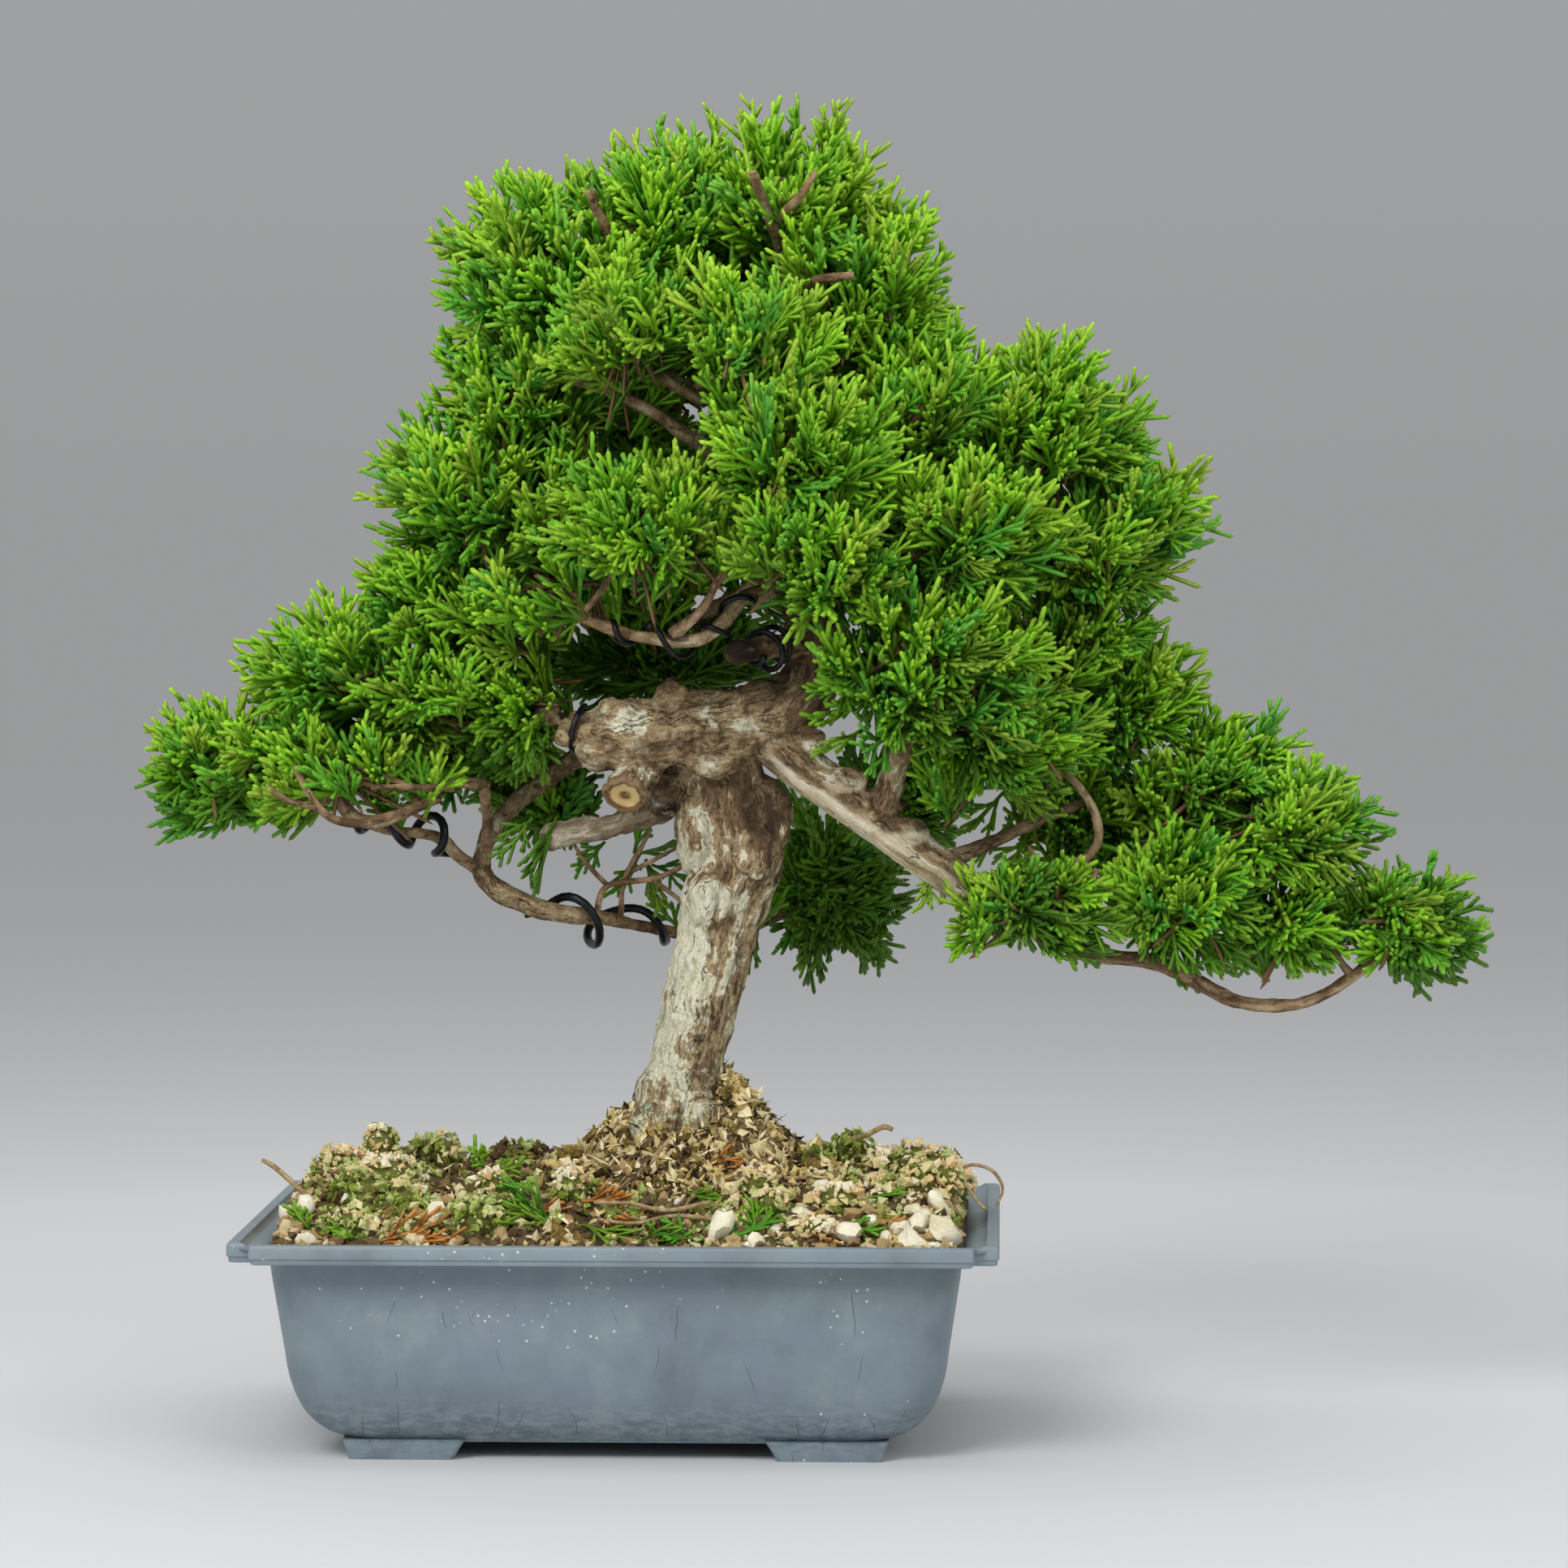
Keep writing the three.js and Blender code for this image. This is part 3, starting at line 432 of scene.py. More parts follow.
def tub_ring(half_x, half_y, radius, z):
    box = [(-half_x, -half_y), (half_x, -half_y), (half_x, half_y), (-half_x, half_y)]
    return at_height(eased(box, radius, 12), z)


NOTCH_X, NOTCH_Y = 8, 7


def rim_ring(inset, z):
    """The rim's outline, with a notch cut out of each corner."""
    x, y = RIM_X - inset, RIM_Y - inset
    quarter = [(x - NOTCH_X, -y), (x - NOTCH_X, -y + NOTCH_Y), (x, -y + NOTCH_Y)]
    right = quarter + [(a, -b) for a, b in reversed(quarter)]
    return at_height(eased(right + [(-a, b) for a, b in reversed(right)], 1.7, 5), z)


def foot(sx, sy):
    """A broad foot that widens upwards. The signs sx and sy say under which corner."""
    rings = []
    for z, grow in ((0, 0), (0.5, 0.5), (3, 1.9), (6.5, 4.2)):
        x0, x1, y0, y1 = 53 - grow, 87 + 0.5 * grow, 46 - 0.9 * grow, 74 + 0.2 * grow
        ring = eased([(x0, y0), (x1, y0), (x1, y1), (x0, y1)], 2.0)
        ring = (ring if sx * sy > 0 else ring[::-1]) * [sx, sy]
        rings.append(at_height(ring, z))
    return skin(np.array(rings))


# %% Join and hollow the pot
tub = skin(np.array([tub_ring(*row) for row in smooth_line(TUB, 1.6)]))
# Steps of the rim: how far it is set in, and the height.
rim_steps = [
    (1.3, 66.0), (0.75, 66.2), (0.6, 66.6), (0.6, 67.7), (0.05, 68.1), (0, 71.5), (0.35, 72.2),
    (1.1, POT_HEIGHT),
]
rim = skin(np.array([rim_ring(inset, z) for inset, z in rim_steps]))
under_rim = skin(np.array([rim_ring(2.2, 65), rim_ring(2.2, 70.2)]))
# The hollow keeps the wall's thickness, with a flat floor under it, and runs out above the rim.
inner_rows = [(x - WALL, y - WALL, radius - 1.5, z) for x, y, radius, z in smooth_line(TUB, 2) if z > 18]
inner_rows = [(90, 70.4, 12, 8.1), (95.5, 72.4, 13, 11)] + inner_rows
inner_rows += [(120.6, 90.6, 9, 71.7), (121, 91, 9, POT_HEIGHT), (121, 91, 9, 78)]
inside = skin(np.array([tub_ring(*row) for row in inner_rows]))
DRAIN_RADIUS = 3.5
holes = [
    tube(np.array([[x, y, z, DRAIN_RADIUS] for z in (2, 6, 12)]), 20)
    for x in (-55, 0, 55)
    for y in (-28, 28)
]

pot_body = object_of(rim)
others = [(under_rim, "DIFFERENCE"), (tub, "UNION")]
others += [(foot(sx, sy), "UNION") for sx in (-1, 1) for sy in (-1, 1)]
others += [(inside, "DIFFERENCE")] + [(hole, "DIFFERENCE") for hole in holes]
tools = []
for shape, operation in others:
    tools.append(object_of(shape))
    step = pot_body.modifiers.new("step", "BOOLEAN")
    step.object = tools[-1]
    step.operation = operation
    step.solver = "EXACT"
pot_part, _ = read_back(pot_body, *tools)
print("pot:", len(pot_part.points), "points, from", len(others), "boolean steps")

# %% [markdown]
# The plastic is polypropylene, coloured grey-blue in the mass and moulded against a slightly rough
# steel. That gives a soft sheen without a clear reflection. Years of use leave fine dark scratches,
# pale specks of lime, cloudy patches where water dried, and a chalky bloom along the lower edge.

# %% Moulded polypropylene
def pot_material():
    material, add = new_material("moulded_polypropylene")
    place = add("TexCoord").outputs["Object"]
    mm = add("VectorMath", {0: place, "Scale": 1000.0}, operation="SCALE")
    # Clouds are 30 mm across. The mould's grit is 0.1 mm, too fine to show, so it is drawn at 1.1 mm.
    cloud = add("TexNoise", {"Vector": mm, "Scale": 1 / 30, "Detail": 6.0, "Roughness": 0.65})
    grit = add("TexNoise", {"Vector": mm, "Scale": 1 / 1.1, "Detail": 2.0})
    colour = add(
        "ValToRGB",
        {"Fac": cloud},
        stops=[(0.3, "#69777E"), (0.45, "#78878E"), (0.58, "#809096"), (0.72, "#909DA2")],
    )
    # Some patches have kept more of the blue.
    tinge = add("TexNoise", {"Vector": mm, "Scale": 1 / 22, "Detail": 4.0})
    tinge = add("MapRange", {0: tinge, "From Min": 0.45, "From Max": 0.62, "To Max": 0.45})
    # Dried water leaves a chalky band on the lowest part of the wall, streaked along it. The feet below it
    # keep only a quarter of the chalk and of the painted shade.
    height = add("SeparateXYZ", {0: mm}).outputs["Z"]
    low = add("MapRange", {0: height, "From Min": 22.0, "From Max": 9.0})
    body = add("MapRange", {0: height, "From Min": 5.4, "From Max": 6.4, "To Min": 0.25})
    low = add("Math", {0: low, 1: body}, operation="MULTIPLY")
    along = add("VectorMath", {0: mm, 1: (0.15, 0.15, 0.5)}, operation="MULTIPLY")
    streaks = add("TexNoise", {"Vector": along, "Scale": 1.0, "Detail": 7.0, "Roughness": 0.75})
    chalk = add("MapRange", {0: streaks, "From Min": 0.47, "From Max": 0.62})
    chalk = add("Math", {0: low, 1: chalk}, operation="MULTIPLY")
    stain = add("MapRange", {0: streaks, "From Min": 0.49, "From Max": 0.38, "To Max": 0.6})
    stain = add("Math", {0: low, 1: stain}, operation="MULTIPLY")
    # Painted shade: the lowest part of the wall, where it curves in under the tub, is darkened; the feet
    # much less.
    shade = add("MapRange", {0: height, "From Min": 34.0, "From Max": 8.0, "To Max": 0.4})
    shade = add("Math", {0: shade, 1: body}, operation="MULTIPLY")
    # The rim is rubbed pale.
    worn = add("MapRange", {0: height, "From Min": 65.5, "From Max": 67.5, "To Max": 0.12})
    # Soil dust clings to the inside of the wall, above the bed.
    facing = add("NewGeometry").outputs["Normal"]
    facing = add("VectorMath", {0: mm, 1: facing}, operation="DOT_PRODUCT").outputs["Value"]
    inside = add("MapRange", {0: facing, "From Min": -20.0, "From Max": -40.0, "To Max": 0.6})
    dusty = add("MapRange", {0: cloud, "From Min": 0.35, "From Max": 0.6, "To Min": 0.4})
    inside = add("Math", {0: inside, 1: dusty}, operation="MULTIPLY")
    # Some cells of a loose grid hold one scratch each: thin, a little bent, with its own lean and length.
    # A cell is 11 mm wide and 18 mm high.
    in_cells = add("VectorMath", {0: mm, 1: (1 / 11, 1 / 11, 1 / 18)}, operation="MULTIPLY")
    cells = add("TexVoronoi", {"Vector": in_cells, "Scale": 1.0})
    drawn = add("SeparateColor", {0: cells.outputs["Color"]})
    off = add("VectorMath", {0: in_cells, 1: cells.outputs["Position"]}, operation="SUBTRACT")
    off = add("SeparateXYZ", {0: off})
    lean = add("MapRange", {0: drawn.outputs["Red"], "To Min": -0.5, "To Max": 1.3})
    aside = add("Math", {0: off.outputs["X"], 1: off.outputs["Y"]}, operation="ADD")
    aside = add("Math", {0: off.outputs["Z"], 1: lean, 2: aside}, operation="MULTIPLY_ADD")
    wave = add("TexNoise", {"Vector": mm, "Scale": 1 / 12, "Detail": 1.0})
    aside = add("Math", {0: wave, 1: 0.4, 2: aside}, operation="MULTIPLY_ADD")
    aside = add("Math", {0: aside, 1: 0.2}, operation="SUBTRACT")
    aside = add("Math", {0: aside}, operation="ABSOLUTE")
    scratch = add("MapRange", {0: aside, "From Min": 0.018, "From Max": 0.004})
    length = add("Math", {0: drawn.outputs["Green"], 1: 0.45}, operation="MULTIPLY")
    beyond = add("Math", {0: off.outputs["Z"]}, operation="ABSOLUTE")
    beyond = add("Math", {0: beyond, 1: length}, operation="SUBTRACT")
    within = add("MapRange", {0: beyond, "From Min": 0.05, "From Max": -0.15, "To Max": 0.75})
    chosen = add("Math", {0: drawn.outputs["Blue"], 1: 0.5}, operation="GREATER_THAN")
    wall = add("MapRange", {0: height, "From Min": 63.0, "From Max": 60.0})
    for part in (within, chosen, wall):
        scratch = add("Math", {0: scratch, 1: part}, operation="MULTIPLY")
    # Specks of lime are 1 mm, thickest under the rim.
    specks = add("TexVoronoi", {"Vector": mm, "Scale": 1 / 3.4})
    speck = add("MapRange", {0: specks, "From Min": 0.15, "From Max": 0.08})
    high = add("MapRange", {0: height, "From Min": 10.0, "From Max": 66.0, "To Min": 0.8, "To Max": 0.35})
    chosen = add("Math", {0: specks.outputs["Color"], 1: high}, operation="GREATER_THAN")
    gather = add("Math", {0: cloud, 1: 0.5}, operation="GREATER_THAN")
    for part in (chosen, gather):
        speck = add("Math", {0: speck, 1: part}, operation="MULTIPLY")
    # Each layer covers what lies below it where its mask is 1.
    layers = (
        (tinge, "#7A8799"), (chalk, "#9DA9AE"), (stain, "#4E5D66"), (shade, "#505D68"),
        (worn, "#A9B3B5"), (inside, "#6E685A"), (scratch, "#2F363E"), (speck, "#D9DCDC"),
    )
    for mask, layer in layers:
        colour = add("Mix", {0: mask, 6: colour, 7: layer}, data_type="RGBA")
    rough = add("MapRange", {0: cloud, "From Min": 0.3, "From Max": 0.7, "To Min": 0.36, "To Max": 0.58})
    bump = add("Bump", {"Height": grit, "Strength": 0.12, "Distance": 0.0002})
    shader = add("BsdfPrincipled", {"Base Color": colour, "Roughness": rough, "IOR": 1.49, "Normal": bump})
    add("OutputMaterial", {"Surface": shader})
    return material


piece("pot_shell", pot_part, pot_material(), smooth=38, replaces=["pot"])

# %% [markdown]
# ## The wood
# The trunk leans to the right over a mound of litter, swells at a bend, and turns into a thick, knotted
# limb. Each limb is a line of points with a radius. The thick ones meet in burls, which plain tubes
# can't show, so they are made as tubes with lumps and then melted into one skin by a voxel remesh. The
# bark is carved into that skin by moving its points.

# %% Tables of numbers
def rows_of(text):
    """An array with one row for each group of numbers between commas."""
    return np.array([row.split() for row in text.split(",")], float)


def table(text):
    """Rows by name. A semicolon ends each name's rows."""
    pairs = [entry.split(":") for entry in text.split(";")]
    return {name.strip(): rows_of(rows) for name, rows in pairs}


print("a table of one row:", table("post: 0 0 0 5")["post"].tolist())

# %% The lines of the limbs
# Each point has x, y, z and the radius there.
LIMBS = table("""
    trunk: 16 4 48 9, 17 4 70 14, 17 4 88 17, 18 4 99 16.4, 19 4 113 14, 20 4 125 12.3, 23 4 139 12.6,
        26 5 153 13.1, 29 6 166 13.4, 33 7 180 14.3, 36 8 192 14.8, 35 8 206 14.5, 33 6 218 13.1,
        33 2 231 12, 42 -4 238 12.6, 51 -4 241 12, 59 -3 248 10.4, 63 0 258 8.8, 64 2 269 8.2,
        64 3 281 7.9, 61 3 295 7.4, 59 2 309 6.8;
    leader: 61 3 297 7, 59 2 310 7, 57 0 324 6.3, 55 -1 340 5.5, 52 -3 358 4.4, 51 -4 380 3.2,
        51 -3 404 1.8;
    limb_left: 48 -4 238 10.5, 35 -6 237 12, 21 -9 236 11.4, 8 -11 235 12.2, -4 -12 234 11.7,
        -12 -11 235 7.6, -20 -9 238 5.2;
    limb_right: 48 -4 234 10.4, 58 -8 224 8.2, 70 -10 215 7.6, 82 -12 206 6.8, 94 -12 197 6.5,
        107 -12 188 6.8, 120 -12 179 5.2, 132 -12 171 3.8, 145 -12 165 3, 160 -10 160 2.7, 176 -8 158 2.7,
        189 -6 152 2.7, 203 -4 145 2.5, 218 -2 143 2.5, 232 0 146 2.2, 243 0 153 2.2, 256 0 162 1.4;
    cut_stub: 6 -8 224 7.4, 3 -18 219 7.2, 0 -27 215 7.4;
    jin: 28 8 213 5, 17 9 210 4.7, 1 6 205 4.1, -15 2 201 4.3, -27 -2 200 3.6;
    low_left: -4 0 232 5, -14 14 228 4, -27 24 219 3.4, -40 27 209 3.3, -49 22 198 3.3, -51 14 187 3.3,
        -44 8 180 3.6, -34 4 176 3.6, -24 5 173 3.3, -12 15 171 2.8, -2 30 168 2.2, 14 50 163 2,
        31 75 161 2, 47 92 166 1.7, 61 95 174 1.4;
    low_left_tip: -51 14 187 2.6, -59 12 192 2.2, -66 8 199 2.1, -80 0 201 1.7, -93 -4 206 1.4;
    left_carry: -4 0 236 6.4, -24 16 235 4.6, -41 18 237 3.9, -57 14 238 3, -76 6 239 2.5, -97 0 235 1.9,
        -119 0 228 1.6, -140 0 226 1.3;
    left_riser: -50 14 188 2.1, -48 4 204 1.9, -48 -8 217 1.9;
    left_hook: -48 -8 217 1.9, -60 -12 218 1.9, -66 -16 215 2.2, -73 -18 209 2.4, -84 -20 205 2.4,
        -92 -20 208 2.4, -97 -18 216 2.1, -104 -14 225 1.6;
    crown_left: 55 0 338 4, 40 -12 342 3.3, 23 -20 349 3, 6 -22 358 2.7, -12 -16 367 2, -27 -6 384 1.4;
    crown_left_low: 58 0 315 3.4, 43 -10 322 2.5, 26 -18 331 2.3, 8 -20 342 2, -10 -16 350 1.7,
        -32 -8 354 1.3;
    mid_left: 64 3 281 4.6, 51 -15 282 3.1, 40 -26 280 2.7, 33 -32 271 2.5, 24 -34 266 2.4, 9 -34 267 2.1,
        -8 -30 271 1.9, -24 -20 280 1.5, -42 -10 298 1.2;
    high_stub: 63 0 264 5, 50 -16 264 4, 40 -29 262 3.7;
    right_riser: 84 -12 206 5.6, 88 -15 216 4.8, 91 -18 226 4.2, 97 -24 236 3.2, 107 -32 247 2.6,
        112 -40 260 1.8;
    right_twig: 107 -10 192 3.4, 122 -6 198 2.3, 137 0 205 2, 155 10 212 1.9, 167 14 228 1.7,
        172 14 244 1.3;
    right_loop: 120 -12 182 3, 142 -16 189 2, 153 -15 193 1.8, 158 -13 201 1.7, 154 -16 213 1.5,
        142 -22 228 1.2;
    shelf: 176 -8 158 2.6, 183 2 168 2.3, 195 8 184 2, 203 9 200 1.7, 201 9 216 1.3;
    shelf_out: 195 8 184 1.9, 210 4 192 1.7, 224 -1 199 1.3;
    mid_right: 59 2 306 4.6, 75 8 311 3.8, 91 8 318 3.6, 110 4 325 3.3, 127 0 332 2.5, 142 -2 341 1.6;
    mid_right_low: 104 5 322 3, 129 6 317 2.7, 149 4 308 2, 162 2 304 1.4;
    front_right: 64 3 284 4.4, 78 -14 286 3.3, 94 -30 280 2.8, 106 -48 268 1.6;
    back_mid: 58 1 315 4, 53 35 318 3.2, 48 66 316 1.8;
    back_right: 64 2 273 4, 76 28 281 3.2, 92 44 292 2.4, 108 54 303 1.6;
    back_left: 62 3 290 4, 47 28 285 3.2, 26 48 275 2.4, 8 58 264 1.5
""")

# %% The brushes of foliage
# Each brush of foliage has its middle and its half sizes along x, y and z.
PADS = table("""
    crown_apex: 54 -4 417, 29 32 27;
    crown_upper_left: 11 0 410, 33 32 28;
    crown_left: -28 -4 395, 36 32 29;
    crown_left_low: -38 -6 355, 28 28 22;
    crown_front_left: 2 -40 374, 28 25 25;
    crown_right: 83 -2 388, 25 32 29;
    crown_front: 41 -46 367, 30 25 26;
    crown_back: 35 50 391, 43 30 32;
    crown_back_right: 77 48 359, 32 28 30;
    crown_back_left: -12 45 364, 35 28 30;
    mid_front: 61 -56 331, 33 26 26;
    mid_right: 101 -12 348, 27 32 27;
    right_lobe_top: 143 -2 341, 33 34 29;
    right_lobe_out: 163 2 306, 32 34 31;
    right_lobe_front: 117 -45 303, 32 25 28;
    mid_front_low: 64 -62 297, 33 23 22;
    mid_left_front: 10 -50 309, 35 26 31;
    mid_left: -48 -8 315, 41 36 34;
    mid_left_down: -62 -4 279, 33 30 24;
    mid_left_low: -21 -27 284, 38 22 14;
    mid_back: 48 80 314, 44 28 33;
    mid_back_left: -6 60 306, 39 26 30;
    mid_back_right: 113 56 306, 39 28 33;
    right_front: 104 -52 262, 42 25 30;
    right_front_low: 131 -28 236, 31 25 23;
    right_gap: 153 0 269, 29 28 21;
    right_behind: 94 40 210, 26 22 19;
    shelf_top: 174 14 245, 27 28 24;
    shelf_mid: 198 10 218, 31 28 25;
    shelf_out: 226 -2 203, 29 26 24;
    shelf_low: 192 -10 181, 32 28 24;
    shelf_low_out: 230 -2 173, 24 24 18;
    shelf_root: 160 18 206, 26 24 21;
    low_front: 140 -26 178, 34 18 16;
    tip_right: 264 0 171, 27 22 19;
    left_main: -91 -4 251, 44 36 29;
    left_tip: -142 0 225, 23 24 24;
    left_front: -101 -22 225, 39 23 18;
    left_inner: -42 0 246, 27 32 24;
    left_back: -65 40 232, 38 22 21;
    window_back: 3 62 261, 42 22 19;
    low_back_left: -38 50 209, 25 20 17;
    low_back_right: 68 95 177, 28 25 34
""")

# %% Wires
# Limb, where the winding starts and ends as a share of the limb, turns, and thickness.
WIRES = {
    "wire_low_branch": ("low_left", 0.42, 0.7, 1.9, 3),
    "wire_low_tip": ("low_left_tip", 0.2, 0.97, 2.4, 3),
    "wire_mid_branch": ("mid_left", 0.2, 0.62, 3.7, 2),
    "wire_high_stub": ("high_stub", 0.42, 0.86, 2.4, 2),
    "wire_left_limb": ("limb_left", 0.9, 0.99, 1.25, 2),
    "wire_front_right": ("front_right", 0.3, 0.62, 2.6, 2),
}
# How far a loop that was wound loosely stands off the bark, and where on the winding.
SLACK = {
    "wire_low_branch": (5.5, 0.5),
    "wire_low_tip": (2.5, 0.3),
    "wire_mid_branch": (3, 0.7),
    "wire_high_stub": (2.5, 0.5),
}

# %% [markdown]
# Where no limb ends in a brush, a twig carries it. It leaves the nearest wood that is thick enough and
# climbs, because twigs grow towards the light.

# %% Twigs to the brushes
# The thinnest wood that a twig leaves from, and a twig's largest and smallest radius.
TWIG_FROM = 1.6
TWIG_THICK = 2.6
TWIG_END = 1.1
# No twig leaves where a wire is wound, nor this share of the limb on either side of it.
BESIDE_WIRE = 0.08


def wood_samples():
    """Points and radii along all the limbs where a twig may leave."""
    rows = []
    for limb, path in LIMBS.items():
        line = smooth_line(path, 4)
        share = np.linspace(0, 1, len(line))
        bare = np.ones(len(line), bool)
        for wound, start, end, _, _ in WIRES.values():
            if wound == limb:
                bare &= (share < start - BESIDE_WIRE) | (share > end + BESIDE_WIRE)
        rows.append(line[bare])
    return np.vstack(rows)


def twigs_to_brushes():
    """A bent line of wood to the middle of each brush that no limb reaches."""
    samples = wood_samples()
    twigs = {}
    for name, (at, half) in PADS.items():
        apart = np.linalg.norm(samples[:, :3] - at, axis=1)
        if apart.min() < 0.45 * min(half):
            continue
        too_high = np.maximum(0, samples[:, 2] - at[2])
        too_thin = samples[:, 3] < TWIG_FROM
        cost = apart + 0.6 * too_high + 1e6 * too_thin
        start = samples[cost.argmin()]
        inside = at + (start[:3] - at) * 0.3 * min(half) / np.linalg.norm(start[:3] - at)
        middle = (start[:3] + inside) / 2
        middle[2] = 0.6 * start[2] + 0.4 * inside[2]
        thick = min(0.75 * start[3], TWIG_THICK)
        twigs[f"twig_{name}"] = [(*start[:3], thick), (*middle, 0.75 * thick), (*inside, TWIG_END)]
    return twigs


TWIGS = twigs_to_brushes()
# Short bare stubs and shoots that show between the brushes.
BARE_SHOOTS = table("""
    crown_stub_left: -2 -8 388 2, -6 -22 402 1.7, -11 -31 414 1.2;
    crown_stub_right: 53 -10 392 2.2, 49 -26 405 1.9, 43 -35 420 1.3;
    crown_stub_fork: 50 -24 404 1.7, 58 -32 411 1.4, 64 -34 420 1;
    crown_shoot: 58 -20 382 1.4, 66 -36 385 1.5, 77 -38 386 1.3;
    pale_shoot: 17 -36 268 2.1, 27 -40 277 1.7, 33 -42 287 1.5, 39 -40 292 1.2;
    left_shoot: -66 -16 215 1.3, -76 -24 219 1.2, -88 -30 224 1;
    shelf_shoot: 145 -12 166 1.4, 153 -16 178 1.2, 157 -20 190 1;
    tangle_a: -12 15 171 1.2, -8 12 182 1.1, 7 14 184 0.95, 20 12 190 0.8;
    tangle_b: -4 17 171 1, -3 14 182 0.95, 1 14 191 0.9, 7 12 201 0.7;
    tangle_c: -8 12 182 0.9, -15 8 190 0.8, -20 4 199 0.6;
    tangle_d: 7 14 184 0.9, 15 16 178 0.8, 22 16 172 0.7;
    tangle_e: -1 14 186 0.8, 12 10 193 0.7, 20 8 197 0.6;
    left_fan_a: -62 -20 213 1.7, -76 -34 208 1.6, -90 -42 206 1.5, -99 -46 211 1.3, -107 -47 225 1;
    left_fan_b: -58 -18 216 1.3, -70 -38 218 1.2, -82 -45 218 0.9;
    left_fan_c: -99 -46 211 1.2, -108 -48 213 1, -116 -48 218 0.8;
    hollow_branch_a: 30 -14 326 2.6, 20 -24 334 2.4, 4 -30 345 2.1, -14 -34 354 1.6;
    hollow_branch_b: 27 -20 345 2.2, 14 -30 352 1.9, 3 -34 361 1.6
""")
print(len(LIMBS), "limbs and", len(TWIGS), "twigs")

# %% Burls and knots
# Middle and radii of each lump on the trunk and the thick limbs.
KNOTS = rows_of("""
    45 4 206 10 10 15, 43 -3 194 9 8 10, 24 -8 230 12 8 9, -2 -16 240 9 8 7, -9 -14 229 7 7 7,
    15 -10 246 6 6 6, 8 -16 229 12 7 7, 30 -8 226 10 8 7, 46 -9 245 11 8 8, 60 -6 246 7 8 11,
    62 -11 232 5 5 5, 72 -14 219 9 5 5, 94 -15 202 8 5 5, 60 -4 268 8 7 9, 70 2 262 6 7 10,
    28 -18 236 4.6 4.6 4.6, 16 2 224 9 8 15, 12 4 214 6 6 9, 23 0 202 8 8 16, 28 -3 178 9 9 12,
    10 0 110 9 10 14, 5 0 99 9 10 10, 24 -6 104 9 9 12, 31 4 102 9 9 10, -27 -11 241 5 5 4.4,
    -20 -14 234 4 4 4, 38 -29 262 4.5 4 4.5, -25 -1 199 5 4 4.4, -12 1 202 5 4 5, 58 -7 286 6 5 7
""")
THICK_LIMBS = ("trunk", "leader", "limb_left", "limb_right", "cut_stub", "jin", "high_stub", "right_riser")
# The remesh's grain, fine enough for a strip of bark.
VOXEL = 1.15


def thick_wood():
    """The thick limbs and their knots, melted into one skin. Gives the part and its normals."""
    parts = [tube(smooth_line(LIMBS[name], 2.5), 24) for name in THICK_LIMBS]
    points, faces = ROUND_BALL
    parts += [Part(points * knot[3:] + knot[:3], [faces]) for knot in KNOTS]
    melted = object_of(joined(parts))
    step = melted.modifiers.new("melt", "REMESH")
    step.mode = "VOXEL"
    step.voxel_size = VOXEL / 1000
    return read_back(melted)


# %% [markdown]
# Juniper bark is a coat of long fibres. It splits into strips along the limb, with dark fissures between
# them, and peels in pale flakes. So the pattern has to follow each limb round its bends: every point of
# the skin looks up the nearest limb and takes its place across, up and along it as bark coordinates.

# %% Bark coordinates
# Points are looked up some thousands at a time, to spare memory.
LOOKED_UP = 6000
# Each limb starts this much farther along the pattern, so no two look the same.
PATTERN_SHIFT = 173.0


def bark_place(points, lines):
    """Millimetres across, up and along the nearest limb, its radius there, which limb it is, and how much
    farther off the next limb is."""
    gaps = np.empty((len(lines), len(points)))
    samples = np.empty((len(lines), len(points)), int)
    for i, line in enumerate(lines):
        for start in range(0, len(points), LOOKED_UP):
            some = slice(start, start + LOOKED_UP)
            gap = np.linalg.norm(points[some, None] - line[None, :, :3], axis=-1) - line[:, 3]
            samples[i, some] = gap.argmin(axis=1)
            gaps[i, some] = gap.min(axis=1)
    owner = gaps.argmin(axis=0)
    apart = np.partition(gaps, 1, axis=0)[:2]
    place = np.empty((len(points), 3))
    radius = np.empty(len(points))
    for i, line in enumerate(lines):
        mine = owner == i
        at = samples[i, mine]
        ahead, across, up = (side[at] for side in frames_along(line))
        steps = np.linalg.norm(np.diff(line[:, :3], axis=0), axis=1)
        run = np.append(0, steps.cumsum()) + PATTERN_SHIFT * i
        out = points[mine] - line[at, :3]
        place[mine] = np.stack([np.sum(out * side, axis=1) for side in (across, up, ahead)], -1)
        place[mine, 2] += run[at]
        radius[mine] = line[at, 3]
    return place, radius, owner, apart[1] - apart[0]


def bark_relief(place, at, radius, rough=1.0):
    """How far the bark stands out, in millimetres, and how deep in a fissure each point lies, from 0 to 1.
    Flutes, strips and fissures run along the limb, while lumps and crumbs have no direction."""
    bent = place + 4.0 * (np.stack([grain(at, 9.0, k) for k in (1.1, 5.3, 9.7)], -1) - 0.5)
    flutes = grain(bent * [1, 1, 0.1], 5.0, 3.3) - 0.5
    strips = grain(bent * [1, 1, 0.14], 2.6, 11.2) - 0.5
    lumps = grain(at, 8.0, 5.1) - 0.5
    crumbs = grain(at, 3.2, 1.3) - 0.5 + 0.6 * (grain(at, 1.8, 7.3) - 0.5)
    crossing = np.abs(grain(bent * [1, 1, 0.12], 7.0, 8.4) - 0.5)
    fissure = (1 - smooth_step(crossing, 0.01, 0.07)) * smooth_step(grain(at, 11.0, 2.2), 0.35, 0.6)
    along = np.clip(2.2 - rough, 0.3, 1.2)
    relief = along * (1.6 * flutes + 1.1 * strips) + rough * (1.7 * lumps + 1.2 * crumbs) - 1.1 * fissure
    return (0.06 * radius + 0.15) * relief, fissure


